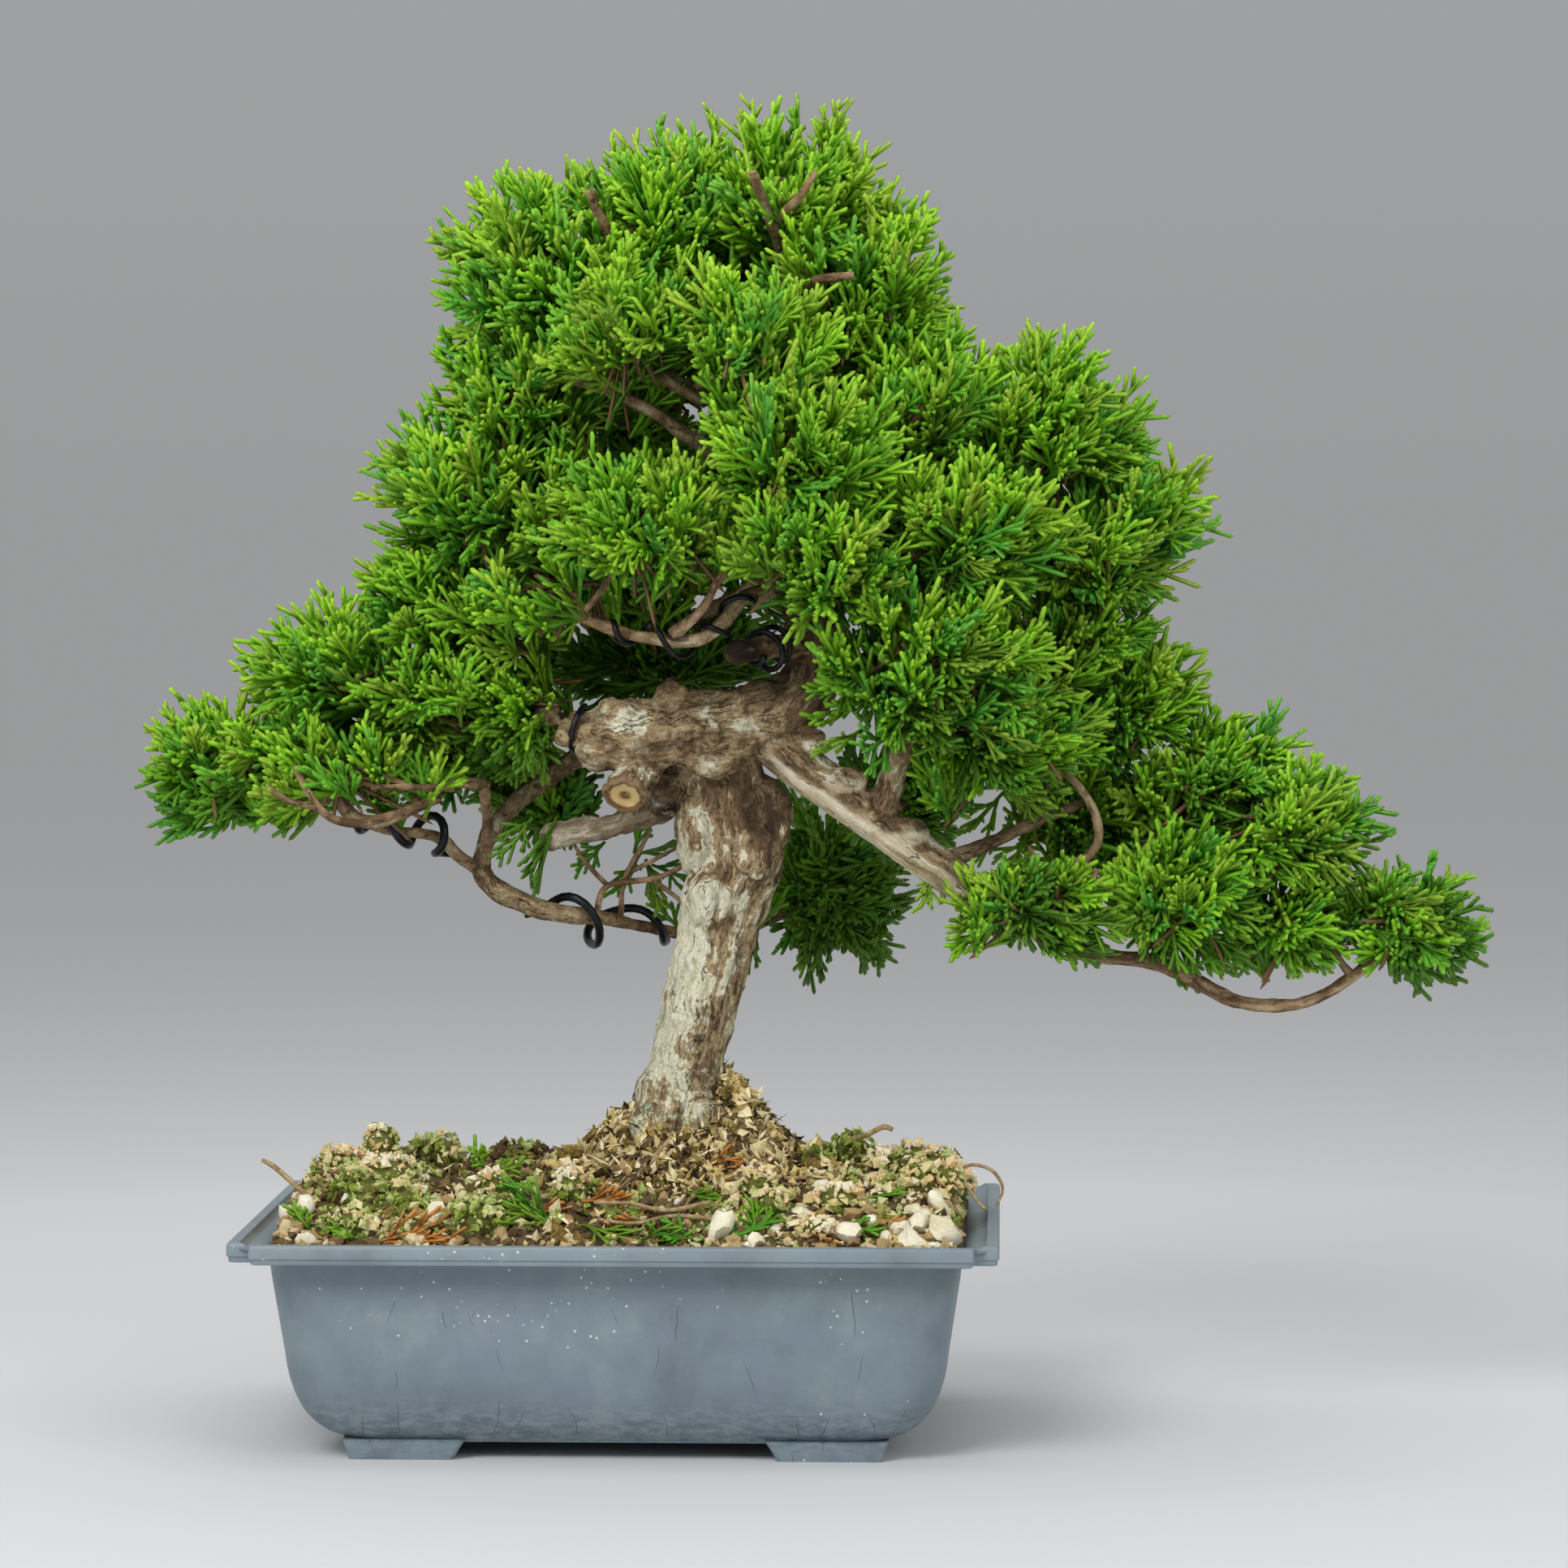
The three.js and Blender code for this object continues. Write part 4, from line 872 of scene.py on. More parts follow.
# %% Carve the thick wood
# How many times lumpier than the trunk a limb is.
ROUGH_LIMBS = {"limb_left": 2.0, "jin": 3.0, "right_riser": 1.5, "high_stub": 1.4, "cut_stub": 1.6}
# The saw cut: its middle, the way it faces, its radius, and how far from its middle the wood is cut.
CUT_MIDDLE = np.array([0.5, -26.0, 214.5])
CUT_FACING = unit(np.array([-0.18, -0.74, -0.64]))
CUT_RADIUS = 7.3
CUT_REACH = 13


def carved_wood():
    """The thick wood with its bark carved in, and the marks that say where it is pale, dark or bare; some
    of the pale is painted light and some of the dark painted shade.
    """
    skin_part, normals = thick_wood()
    lines = [smooth_line(LIMBS[name], 1.5) for name in THICK_LIMBS]
    place, radius, owner, apart = bark_place(skin_part.points, lines)
    rough = np.array([ROUGH_LIMBS.get(name, 1.0) for name in THICK_LIMBS])[owner]
    relief, fissure = bark_relief(place, skin_part.points, radius, rough)
    at_joint = 1 - smooth_step(apart, 0.5, 5.0)
    # Where two limbs meet, strips would clash, so only lumps are left.
    coarse = grain(skin_part.points, 6.0, 2.0) - 0.5
    fine = grain(skin_part.points, 2.4, 6.0) - 0.5
    relief = relief + (2.0 * coarse + 1.2 * fine - relief) * at_joint
    fissure = fissure * (1 - at_joint)
    x, _, z = skin_part.points.T

    def on(*names):
        return np.isin(owner, [THICK_LIMBS.index(name) for name in names])

    wander = grain(skin_part.points, 7.0, 4.4) - 0.5
    # Bark has been stripped off the underside of the right limb, with a torn edge.
    torn = grain(place * [1, 1, 0.2], 9, 8.0) - 0.5
    underside = smooth_step(-normals[:, 2] + 0.5 * torn, -0.15, 0.2)
    stripped = on("limb_right") * underside * smooth_step(x, 44, 54) * (1 - smooth_step(x, 128, 150))
    relief = relief * (1 - 0.65 * stripped)
    points = skin_part.points + normals * relief[:, None]

    def near(middle, radii):
        off = np.linalg.norm((skin_part.points - middle) / radii, axis=1)
        return 1 - smooth_step(off + 0.9 * wander, 0.5, 1.1)

    # Old wounds and charring are nearly black. The charred hollow below the right limb and the bark
    # under the left limb are darkened further as painted shade.
    stain = np.maximum(0.8 * near([45, -6, 206], [8, 14, 13]), near([14, 0, 222], [9, 12, 14]))
    stain = np.maximum(stain, 0.7 * near([-22, -12, 226], [8, 12, 8]))
    stain = np.maximum(stain, 1.2 * near([40, -30, 262], [8, 8, 8]))
    # The weathered lower trunk is pale down to where litter keeps it damp. It is paler still on its
    # lit left side, and so is the upper trunk's left side: that extra paleness is painted light.
    lit_side = 0.35 + 0.65 * smooth_step(0.16 * z - x + 16 * wander, -4, 6)
    pale = smooth_step(-z + 26 * wander, -204, -176) * lit_side
    above_litter = 0.15 + 0.85 * smooth_step(z + 16 * wander, 102, 132)
    lit_left_side = smooth_step(-x + 16 * wander, -38, -24) * smooth_step(z, 168, 188)
    cream = on("trunk") * (1.4 * pale * above_litter + 0.5 * lit_left_side - 0.22)
    # Painted highlights: pale patches on the top of the left limb.
    cream = cream + 0.85 * near([38, -16, 241], [14, 12, 8]) + 0.75 * near([2, -22, 238], [9, 12, 8])
    # What stands beyond the saw cut is pressed flat onto it.
    beyond = (points - CUT_MIDDLE) @ CUT_FACING
    on_cut = np.linalg.norm(points - CUT_MIDDLE, axis=1) < CUT_REACH
    points = points - np.where(on_cut & (beyond > 0), beyond, 0)[:, None] * CUT_FACING
    marks = {
        "bark": place,
        "fissure": fissure * (1 - 0.8 * stripped),
        "joint": np.maximum(at_joint, 0.8 * on("limb_left")),
        "stripped": stripped + 0.6 * on("jin"),
        "lichen": on("trunk") * (1 - smooth_step(z, 104, 150)),
        "young": smooth_step(-radius, -5.5, -2.5),
        # The left limb is paler all over, partly pale bark and partly painted light.
        "cream": cream + 0.26 * on("limb_left"),
        # The jin is darkened all over as painted shade.
        "stain": stain + 0.45 * on("jin"),
    }
    return Part(points, skin_part.faces, **marks)


# %% Thin branches
def thin_wood():
    """All the wood that is too thin to melt: tubes with a little swell, wander and relief."""
    rows = {name: path for name, path in LIMBS.items() if name not in THICK_LIMBS}
    rows = {**rows, **TWIGS, **BARE_SHOOTS}
    lines = [smooth_line(path, 2.2) for path in rows.values()]
    parts = []
    for line in lines:
        swell = grain(line[:, :3], 5.0, 2.2) - 0.5
        line = line.copy()
        line[:, 3] *= 1 + 0.35 * swell
        line[:, :3] += 0.9 * (np.stack([grain(line[:, :3], 9.0, k) for k in (1.5, 4.5, 7.5)], -1) - 0.5)
        parts.append(tube(line, 7))
    part = joined(parts)
    place, radius, _, _ = bark_place(part.points, lines)
    relief, fissure = bark_relief(place, part.points, radius)
    out = unit(default_rng(41).normal(size=part.points.shape))
    part.points = part.points + 0.45 * relief[:, None] * out
    warm = smooth_step(-radius, -3.4, -1.6)
    part.marks = {"bark": place, "fissure": 0.5 * fissure, "young": warm}
    for mark, value in (("joint", 0.4), ("stripped", 0), ("lichen", 0), ("cream", 0.1), ("stain", 0)):
        part.marks[mark] = np.full(len(warm), float(value))
    return part


# %% [markdown]
# The bark's colours: brown-grey fibre, darker in the fissures, with pale weathered plates low on the trunk
# where sun and water bleach it, and grey-green lichen near the soil. Pale patches on the left limb and the
# trunk's lit left side are painted light, and dark patches under the limbs and on the jin are painted
# shade. Where the bark was stripped the bare wood is cream. Young wood is warmer and redder. Bark scatters
# light and has no gloss.

# %% Juniper bark
def bark_material():
    material, add = new_material("juniper_bark")
    mark = {
        name: add("Attribute", attribute_name=name).outputs["Fac"]
        for name in ("fissure", "joint", "stripped", "lichen", "young", "cream", "stain")
    }
    along = add("Attribute", attribute_name="bark").outputs["Vector"]
    place = add("TexCoord").outputs["Object"]
    place = add("VectorMath", {0: place, "Scale": 1000.0}, operation="SCALE")
    warp = add("TexNoise", {"Vector": place, "Scale": 1 / 9, "Detail": 3.0}).outputs["Color"]
    warp = add("VectorMath", {0: warp, 1: (0.5, 0.5, 0.5)}, operation="SUBTRACT")
    warp = add("VectorMath", {0: warp, "Scale": 6.0}, operation="SCALE")
    bent = add("VectorMath", {0: along, 1: warp}, operation="ADD")
    strips = add("VectorMath", {0: bent, 1: (1.0, 1.0, 0.125)}, operation="MULTIPLY")
    # Streaks are 4 mm wide, blotches 10 mm, crumbs 2 mm and lumps 8 mm. Real fibres are 0.2 mm wide, too
    # fine to show, so they are drawn at 0.8 mm.
    streaks = add("TexNoise", {"Vector": strips, "Scale": 1 / 4, "Detail": 6.0, "Roughness": 0.6})
    fibres = add("TexNoise", {"Vector": strips, "Scale": 1 / 0.8, "Detail": 3.0, "Roughness": 0.6})
    blotches = add("TexNoise", {"Vector": place, "Scale": 1 / 10, "Detail": 7.0, "Roughness": 0.62})
    crumbs = add("TexNoise", {"Vector": place, "Scale": 1 / 2, "Detail": 5.0, "Roughness": 0.7})
    lumps = add("TexNoise", {"Vector": place, "Scale": 1 / 8, "Detail": 6.0, "Roughness": 0.55})
    streaks = add("Mix", {0: mark["joint"], 2: streaks, 3: lumps})

    # Old bark comes off in crisp flakes: brown outer bark over paler inner bark over weathered white.
    tone = add("Math", {0: streaks, 1: 0.58}, operation="MULTIPLY")
    # The pale mark lifts the tone, partly as painted light; the darkening mark lowers it, partly as
    # painted shade.
    for part, weight in ((blotches, 0.34), (crumbs, 0.08), (mark["cream"], 0.122), (mark["stain"], -0.11)):
        tone = add("Math", {0: part, 1: weight, 2: tone}, operation="MULTIPLY_ADD")
    edge = add("Math", {0: mark["joint"], 1: 0.06, 2: 0.506}, operation="MULTIPLY_ADD")
    inner = add("MapRange", {0: tone, "From Min": 0.476, "From Max": edge})
    oldest = add("Math", {0: mark["joint"], 1: -0.05, 2: tone}, operation="MULTIPLY_ADD")
    edge = add("Math", {0: mark["joint"], 1: 0.06, 2: 0.566}, operation="MULTIPLY_ADD")
    weathered = add("MapRange", {0: oldest, "From Min": 0.55, "From Max": edge})
    fine = add("Math", {0: crumbs, 1: 0.45}, operation="MULTIPLY")
    fine = add("Math", {0: fibres, 1: 0.55, 2: fine}, operation="MULTIPLY_ADD")
    ramps = {
        name: add("ValToRGB", {"Fac": by}, stops=stops)
        for name, by, stops in (
            ("outer", fine, [(0.34, "#44362A"), (0.45, "#6B563F"), (0.55, "#8C7255"), (0.67, "#AA8E6A")]),
            ("inner", fine, [(0.34, "#78644A"), (0.45, "#9C8563"), (0.55, "#BBA57F"), (0.67, "#D6C6A2")]),
            ("white", fine, [(0.37, "#A9A484"), (0.46, "#DAD6B6"), (0.56, "#F7F4DE")]),
            ("young", tone, [(0.44, "#624A34"), (0.52, "#9A7C5C"), (0.6, "#CCB08A")]),
            ("bare", streaks, [(0.36, "#9A8664"), (0.46, "#D8C5A0"), (0.6, "#F2E8CE")]),
            ("lichen", crumbs, [(0.45, "#868C62"), (0.55, "#D9DAC0")]),
        )
    }
    rust = add("MapRange", {0: crumbs, "From Min": 0.52, "From Max": 0.62, "To Max": 0.35})
    rust = add("Math", {0: rust, 1: mark["young"]}, operation="MAXIMUM")
    spots = add("TexNoise", {"Vector": place, "Scale": 1 / 2.6, "Detail": 4.0, "Roughness": 0.7})
    spots = add("MapRange", {0: spots, "From Min": 0.52, "From Max": 0.57})
    spots = add("Math", {0: spots, 1: mark["lichen"]}, operation="MULTIPLY")

    # A crack is where a noise stretched along the limb crosses its middle value.
    split = add("TexNoise", {"Vector": strips, "Scale": 1 / 5, "Detail": 3.0, "Roughness": 0.55})
    split = add("Math", {0: split, 1: 0.5}, operation="SUBTRACT")
    split = add("Math", {0: split}, operation="ABSOLUTE")
    split = add("MapRange", {0: split, "From Min": 0.012, "From Max": 0.003, "To Max": 0.7})
    where = add("MapRange", {0: blotches, "From Min": 0.56, "From Max": 0.46})
    split = add("Math", {0: split, 1: where}, operation="MULTIPLY")
    deep = add("Math", {0: mark["fissure"], 1: 0.55}, operation="MULTIPLY")
    dark = add("Math", {0: split, 1: deep}, operation="MAXIMUM")
    # Charring and painted shade: where the darkening mark is strong, dark streaks turn nearly black.
    soot_and_shade = add("MapRange", {0: streaks, "From Min": 0.6, "From Max": 0.5})
    soot_and_shade = add("Math", {0: soot_and_shade, 1: mark["stain"]}, operation="MULTIPLY")
    soot_and_shade = add("Math", {0: soot_and_shade, 1: 0.85}, operation="MULTIPLY")
    dark = add("Math", {0: dark, 1: soot_and_shade}, operation="MAXIMUM")
    layers = (
        (inner, ramps["inner"]), (weathered, ramps["white"]), (rust, ramps["young"]),
        (mark["stripped"], ramps["bare"]), (spots, ramps["lichen"]), (dark, "#2A2119"),
    )
    colour = ramps["outer"]
    for mask, layer in layers:
        colour = add("Mix", {0: mask, 6: colour, 7: layer}, data_type="RGBA")

    height = add("Math", {0: streaks, 1: crumbs}, operation="ADD")
    height = add("Math", {0: fibres, 1: 0.3, 2: height}, operation="MULTIPLY_ADD")
    height = add("Math", {0: inner, 1: -0.3, 2: height}, operation="MULTIPLY_ADD")
    height = add("Math", {0: height, 1: split}, operation="SUBTRACT")
    bump = add("Bump", {"Height": height, "Strength": 1.0, "Distance": 0.0012})
    shader = add("BsdfPrincipled", {"Base Color": colour, "Roughness": 0.85, "IOR": 1.45, "Normal": bump})
    shader.inputs["Specular IOR Level"].default_value = 0.3
    add("OutputMaterial", {"Surface": shader})
    return material


juniper_bark = bark_material()
piece("trunk_and_limbs", carved_wood(), juniper_bark, replaces=["wood"])
piece("branches_and_twigs", thin_wood(), juniper_bark, replaces=["wood"])

# %% [markdown]
# The saw cut on the stub under the left limb shows fresh wood: cream with a darker heart, fine growth
# rings, and a brown rim where the bark ends. It is a shallow dish of its own, set on the cut.

# %% The saw cut
# From the rim inwards: shares of the radius, and how far each ring is raised.
CUT_SHARES = np.array([1.0, 0.98, 0.9, 0.8, 0.74, 0.7, 0.45, 0.24, 0.18, 0.04])
CUT_LIFTS = [-1.6, 0.3, 1.1, 0.9, 0.4, 0.25, 0.2, 0.15, -0.3, -0.5]
BARK_FROM = 0.72


def saw_cut():
    """A shallow dish with a ragged rim of bark."""
    across = unit(np.cross(CUT_FACING, [0, 0, 1.0]))
    up = np.cross(across, CUT_FACING)
    turn = np.linspace(0, 2 * np.pi, 56, endpoint=False)
    spokes = np.cos(turn)[:, None] * across + np.sin(turn)[:, None] * up
    ragged = grain(spokes * 7, 2.2, 9.0) - 0.5
    rings = []
    for share, lift in zip(CUT_SHARES, CUT_LIFTS):
        bark = float(share > BARK_FROM)
        reach = CUT_RADIUS * share * (1 + (0.1 + 0.16 * bark) * ragged)
        raised = lift + 1.3 * bark * (grain(spokes * 6 + lift, 1.8, 3.0) - 0.5)
        rings.append(CUT_MIDDLE + spokes * reach[:, None] + CUT_FACING * raised[:, None])
    return skin(np.array(rings), ring=CUT_RADIUS * CUT_SHARES)


def cut_material():
    material, add = new_material("sawn_juniper")
    ring = add("Attribute", attribute_name="ring").outputs["Fac"]
    place = add("TexCoord").outputs["Object"]
    # The rings wander in waves of 4 mm, 260 to the metre, and stand 1.1 mm apart, drawn a little coarse.
    wander = add("TexNoise", {"Vector": place, "Scale": 260.0, "Detail": 4.0, "Roughness": 0.6})
    bent = add("Math", {0: wander, 1: 2.0, 2: ring}, operation="MULTIPLY_ADD")
    wave = add("Math", {0: bent, 1: 2 * math.pi / 1.1}, operation="MULTIPLY")
    wave = add("Math", {0: wave}, operation="SINE")
    wood = add("ValToRGB", {"Fac": wave}, stops=[(0.0, "#D8B675"), (1.0, "#B48A4E")])
    zones = add(
        "ValToRGB",
        {"Fac": add("Math", {0: bent, 1: 9.3}, operation="DIVIDE")},
        stops=[
            (0.22, "#3E2816"), (0.3, "#A67C45"), (0.4, "#E2C68B"), (0.6, "#E6CF9C"),
            (0.655, "#B98D4C"), (0.7, "#6B4E33"), (0.86, "#8A7256"),
        ],
    )
    rings_show = add("MapRange", {0: bent, "From Min": 5.6, "From Max": 6.2, "To Min": 0.3, "To Max": 0.0})
    colour = add("Mix", {0: rings_show, 6: zones, 7: wood}, data_type="RGBA")
    shader = add("BsdfPrincipled", {"Base Color": colour, "Roughness": 0.75, "IOR": 1.45})
    shader.inputs["Specular IOR Level"].default_value = 0.3
    add("OutputMaterial", {"Surface": shader})
    return material


piece("saw_cut", saw_cut(), cut_material(), replaces=["wood"])

# %% [markdown]
# ## The training wires
# Branches are bent with soft aluminium wire, anodised black so that it hardly shows. It is wound on in
# turns that just touch the bark, apart from a loose loop here and there. Each is one tube along a helix
# round its limb.

# %% Wind the wires
# Points in a turn, and how far the wire clears the line of the limb's skin.
WIRE_STEPS = 22
WIRE_OFF = 0.35


def wire(limb, start, end, turns, thick, slack=0.0, slack_at=0.5):
    """A round wire wound on part of a limb. Slack is how far its loose loop stands off."""
    line = smooth_line(LIMBS[limb], 0.8)
    _, across, up = frames_along(line)
    share = np.linspace(0, 1, int(turns * WIRE_STEPS))
    at = (start + (end - start) * share) * (len(line) - 1)
    low = np.minimum(at.astype(int), len(line) - 2)
    mix = (at - low)[:, None]
    middle = line[low] * (1 - mix) + line[low + 1] * mix
    angle = 2 * np.pi * turns * (share + 0.035 * np.sin(share * 11 + thick))
    loose = slack * np.exp(-(((share - slack_at) * turns / 0.4) ** 2))
    uneven = 0.5 * (grain(middle[:, :3], 7.0, 3.0) - 0.5)
    reach = middle[:, 3] + thick / 2 + WIRE_OFF + uneven + loose
    out = np.cos(angle)[:, None] * across[low] + np.sin(angle)[:, None] * up[low]
    helix = middle[:, :3] + out * reach[:, None]
    return tube(np.column_stack([helix, np.full(len(helix), thick / 2)]), 10)


def wire_material():
    material, add = new_material("black_anodised_aluminium")
    place = add("TexCoord").outputs["Object"]
    # Tools and sun have worn the black off in patches of 4 mm.
    worn = add("TexNoise", {"Vector": place, "Scale": 260.0, "Detail": 3.0})
    colour = add(
        "ValToRGB",
        {"Fac": worn},
        stops=[(0.45, "#15171A"), (0.62, "#23272C"), (0.75, "#3A4046")],
    )
    rough = add("MapRange", {0: worn, "To Min": 0.22, "To Max": 0.5})
    shader = add("BsdfPrincipled", {"Base Color": colour, "Roughness": rough, "Metallic": 0.55})
    add("OutputMaterial", {"Surface": shader})
    return material


anodised = wire_material()
for name, winding in WIRES.items():
    wound = wire(*winding, *SLACK.get(name, ()))
    piece(name.replace("wire", "winding"), wound, anodised, replaces=[name])

# %% [markdown]
# ## Soil, moss and litter
# The soil is a free-draining mix of fired clay grains, pumice and bark. It stands above the wall in a
# heap, as it does when roots have lifted it for years, with a collar of dry moss and shed bark round the
# trunk and crusty moss on its left. The bed is one surface. On it lie real grains, crumbs, fibres and
# fallen sprigs, because a bump map stays flat where the light comes from the side.

# %% The soil bed
# The height at the wall, how far the heap rises over it, and how far the soil reaches along x and y.
SOIL_LEVEL = 67
HEAP = 18
SOIL_X, SOIL_Y = 113, 83
ROOT_MIDDLE = (20, 5)
# Middle, height and spread of each mound.
MOUNDS = [
    ((29, 6), 33, (20, 22)), ((-2, 4), 15, (15, 22)), ((-84, 0), 5, (17, 28)),
    ((-36, 10), 3, (12, 24)), ((62, 6), 3, (16, 26)),
]


def soil_height(x, y):
    """The height of the heap: low at the wall, high round the trunk."""
    inward = smooth_step(SOIL_X - np.abs(x), -6, 10) * smooth_step(SOIL_Y - 0.5 - np.abs(y), -14, 58)
    mound = 0.8 * np.sin(x * 0.23 + 1) * np.cos(y * 0.19) + 0.8 * np.sin(x * 0.41 - y * 0.37)
    for (ax, ay), height, (sx, sy) in MOUNDS:
        mound = mound + height * np.exp(-(((x - ax) / sx) ** 2) - ((y - ay) / sy) ** 2)
    return SOIL_LEVEL + (HEAP + mound) * inward


BED_SPOKES = 150
BED_RINGS = 50


def soil_bed():
    """A closed block that fills the pot, with a finely ringed, crumbly top round the root."""
    edge = tub_ring(110.6, 80.6, 12.5, 66)
    closed = np.vstack([edge, edge[:1]])
    runs = np.append(0, np.linalg.norm(np.diff(closed, axis=0), axis=1).cumsum())
    spread = np.linspace(0, runs[-1], BED_SPOKES, endpoint=False)
    edge = np.stack([np.interp(spread, runs, closed[:, k]) for k in range(3)], -1)
    # Shares of the edge along x and y, and the height, where the soil follows the leaning wall.
    lower = [
        ((0.862, 0.889), 8.5), ((0.922, 0.943), 19), ((0.992, 0.988), 59), ((1, 1), 66),
        ((1.03, 1.04), 68.4),
    ]
    rings = [edge * [grow_x, grow_y, 0] + [0, 0, z] for (grow_x, grow_y), z in lower]
    root = np.array([*ROOT_MIDDLE, 0])
    outer = rings[-1] * [1, 1, 0]
    for share in np.linspace(0.985, 0.03, BED_RINGS):
        ring = root + (outer - root) * share
        rough = grain(ring, 2.6, 4.0) + 0.6 * grain(ring, 1.3, 8.0) + 1.5 * grain(ring, 8.0, 6.0)
        ring[:, 2] = soil_height(ring[:, 0], ring[:, 1]) + 1.3 * (rough - 1.55)
        rings.append(ring)
    return skin(np.array(rings))


# %% Grains, crumbs and fibres
def in_pot(count, rng, margin=4.0):
    """Random places on the soil, clear of the wall."""
    return rng.uniform(-1, 1, (2, count)) * [[SOIL_X - margin], [SOIL_Y - margin]]


def on_soil(x, y, lift=0.0):
    return np.stack([x, y, soil_height(x, y) + lift], -1)


def even_directions(count, rng):
    """Directions spread evenly over a ball."""
    k = np.arange(count) + 0.5
    height = 1 - 2 * k / count
    turn = k * math.pi * (3 - math.sqrt(5)) + rng.uniform(0, 6)
    wide = np.sqrt(1 - height**2)
    even = np.stack([wide * np.cos(turn), wide * np.sin(turn), height], -1)
    return unit(even + rng.normal(0, 0.12, (count, 3)))


# A crumb of eight faces.
CHIP = (
    np.array([(1, 0, 0), (0, 1, 0), (-1, 0, 0), (0, -1, 0), (0, 0, 1), (0, 0, -1)], float),
    np.array([(0, 1, 4), (1, 2, 4), (2, 3, 4), (3, 0, 4), (1, 0, 5), (2, 1, 5), (3, 2, 5), (0, 3, 5)]),
)


def stones(places, sizes, shape, rng, rough=0.22, flat=0.8, **marks):
    """Angular grains: copies of one shape, each with its own dents, stretch and turn."""
    points, faces = shape
    count = len(places)
    dented = points * (1 + rough * rng.uniform(-1, 1, (count, len(points), 1)))
    dented = dented * rng.uniform(0.7, 1.25, (count, 1, 3)) * [1, 1, flat]
    x = unit(rng.normal(size=(count, 3)))
    y = unit(np.cross(x, rng.normal(size=(count, 3))))
    dented = dented @ np.stack([x, y, np.cross(x, y)], axis=1)
    placed = places[:, None] + dented * sizes[:, None, None]
    numbered = faces[None] + (np.arange(count) * len(points))[:, None, None]
    marks = {name: np.repeat(values, len(points)) for name, values in marks.items()}
    return Part(placed, [numbered.reshape(-1, 3)], **marks)


def soil_grains():
    """Fired clay and bark: more of it at the front, where it is seen."""
    rng = default_rng(21)
    x, y = in_pot(1500, rng, 2.5)
    near_front = rng.uniform(size=len(x)) < 0.55 + 0.45 * smooth_step(-y, -20, 50)
    x, y = x[near_front], y[near_front]
    size = rng.gamma(5.0, 0.32, len(x)).clip(0.8, 2.8)
    grains = stones(on_soil(x, y, 0.4 * size), size, ROUGH_BALL, rng, tone=rng.uniform(0, 1, len(x)))
    # Finer crumbs have slid down against the wall, all round.
    x, y = in_pot(980, rng, 2.5)
    on_long_side = rng.uniform(size=len(x)) < 0.58
    reach = rng.gamma(1.7, 3.6, len(x)).clip(0, 22)
    x = np.where(on_long_side, x, np.sign(x) * (111 - reach))
    y = np.where(on_long_side, np.sign(y) * (81 - reach), y)
    size = rng.gamma(6.0, 0.27, len(x)).clip(0.8, 2.6)
    crumbs = stones(on_soil(x, y, 0.3 * size), size, CHIP, rng, rough=0.4, tone=rng.uniform(0, 1, len(x)))
    return joined([grains, crumbs])


# Place and size of each large grain, the number of small ones, and the collar that is clear of them.
LARGE_PUMICE = rows_of("""
    -109 -50 3.8, -103 -54 4.6, -59 -58 4.2, -100 -77 3.6, 34 -68 5, 46 -77 3.4, 67 -38 3.8, 61 -57 3.4,
    76 -71 5, 105 -49 4.4, 99 -63 4, 93 -66 3.4, 107 -68 5, 97 -77 3.8, 103 -78 2.4, 83 -63 2.8,
    97 -54 2.6, 101 -56 3, 88 -72 2.6, 52 -66 2, -88 -70 2, 70 -62 2.2
""")
SMALL_PUMICE = 40
COLLAR = 40


def pumice():
    """Pumice: pale, light and full of pores. The large grains lie where they catch the eye."""
    rng = default_rng(22)
    x, y = in_pot(SMALL_PUMICE, rng, 8)
    x = np.concatenate([LARGE_PUMICE[:, 0], x])
    y = np.concatenate([LARGE_PUMICE[:, 1], y])
    size = np.concatenate([LARGE_PUMICE[:, 2], rng.uniform(1.3, 3.0, SMALL_PUMICE)])
    kept = np.hypot(x - ROOT_MIDDLE[0], y - ROOT_MIDDLE[1]) > COLLAR
    x, y, size = x[kept], y[kept], size[kept]
    return stones(on_soil(x, y, 0.5 * size), 1.02 * size, ROUND_BALL, rng, rough=0.24, flat=0.78)


# Middle and spread on the bed, number of crumbs, and how dry they are: brown, green, sage, straw, cream.
MOSS_PLACES = rows_of("""
    -84 -34 20 24 1000 0.5, -86 4 18 22 620 0.55, -70 -62 22 9 300 0.35, -52 6 14 22 300 0.1,
    -34 4 16 26 420 0.08, -30 -40 18 16 300 0.3, 0 -56 26 12 320 0.3, 46 -58 20 14 380 0.62,
    84 -30 22 26 700 0.56, 90 8 16 22 520 0.6, 74 40 26 20 300 0.5, -20 44 40 18 420 0.45,
    110 -20 2.5 30 160 0.6, -110 0 2.5 26 120 0.5, 24 62 46 12 380 0.45, -72 50 30 18 300 0.5,
    88 56 20 16 200 0.35
""")
# The core of a lump: its share of the radii and its tone.
CORE_SHARE = 0.85
CORE_TONE = 0.24
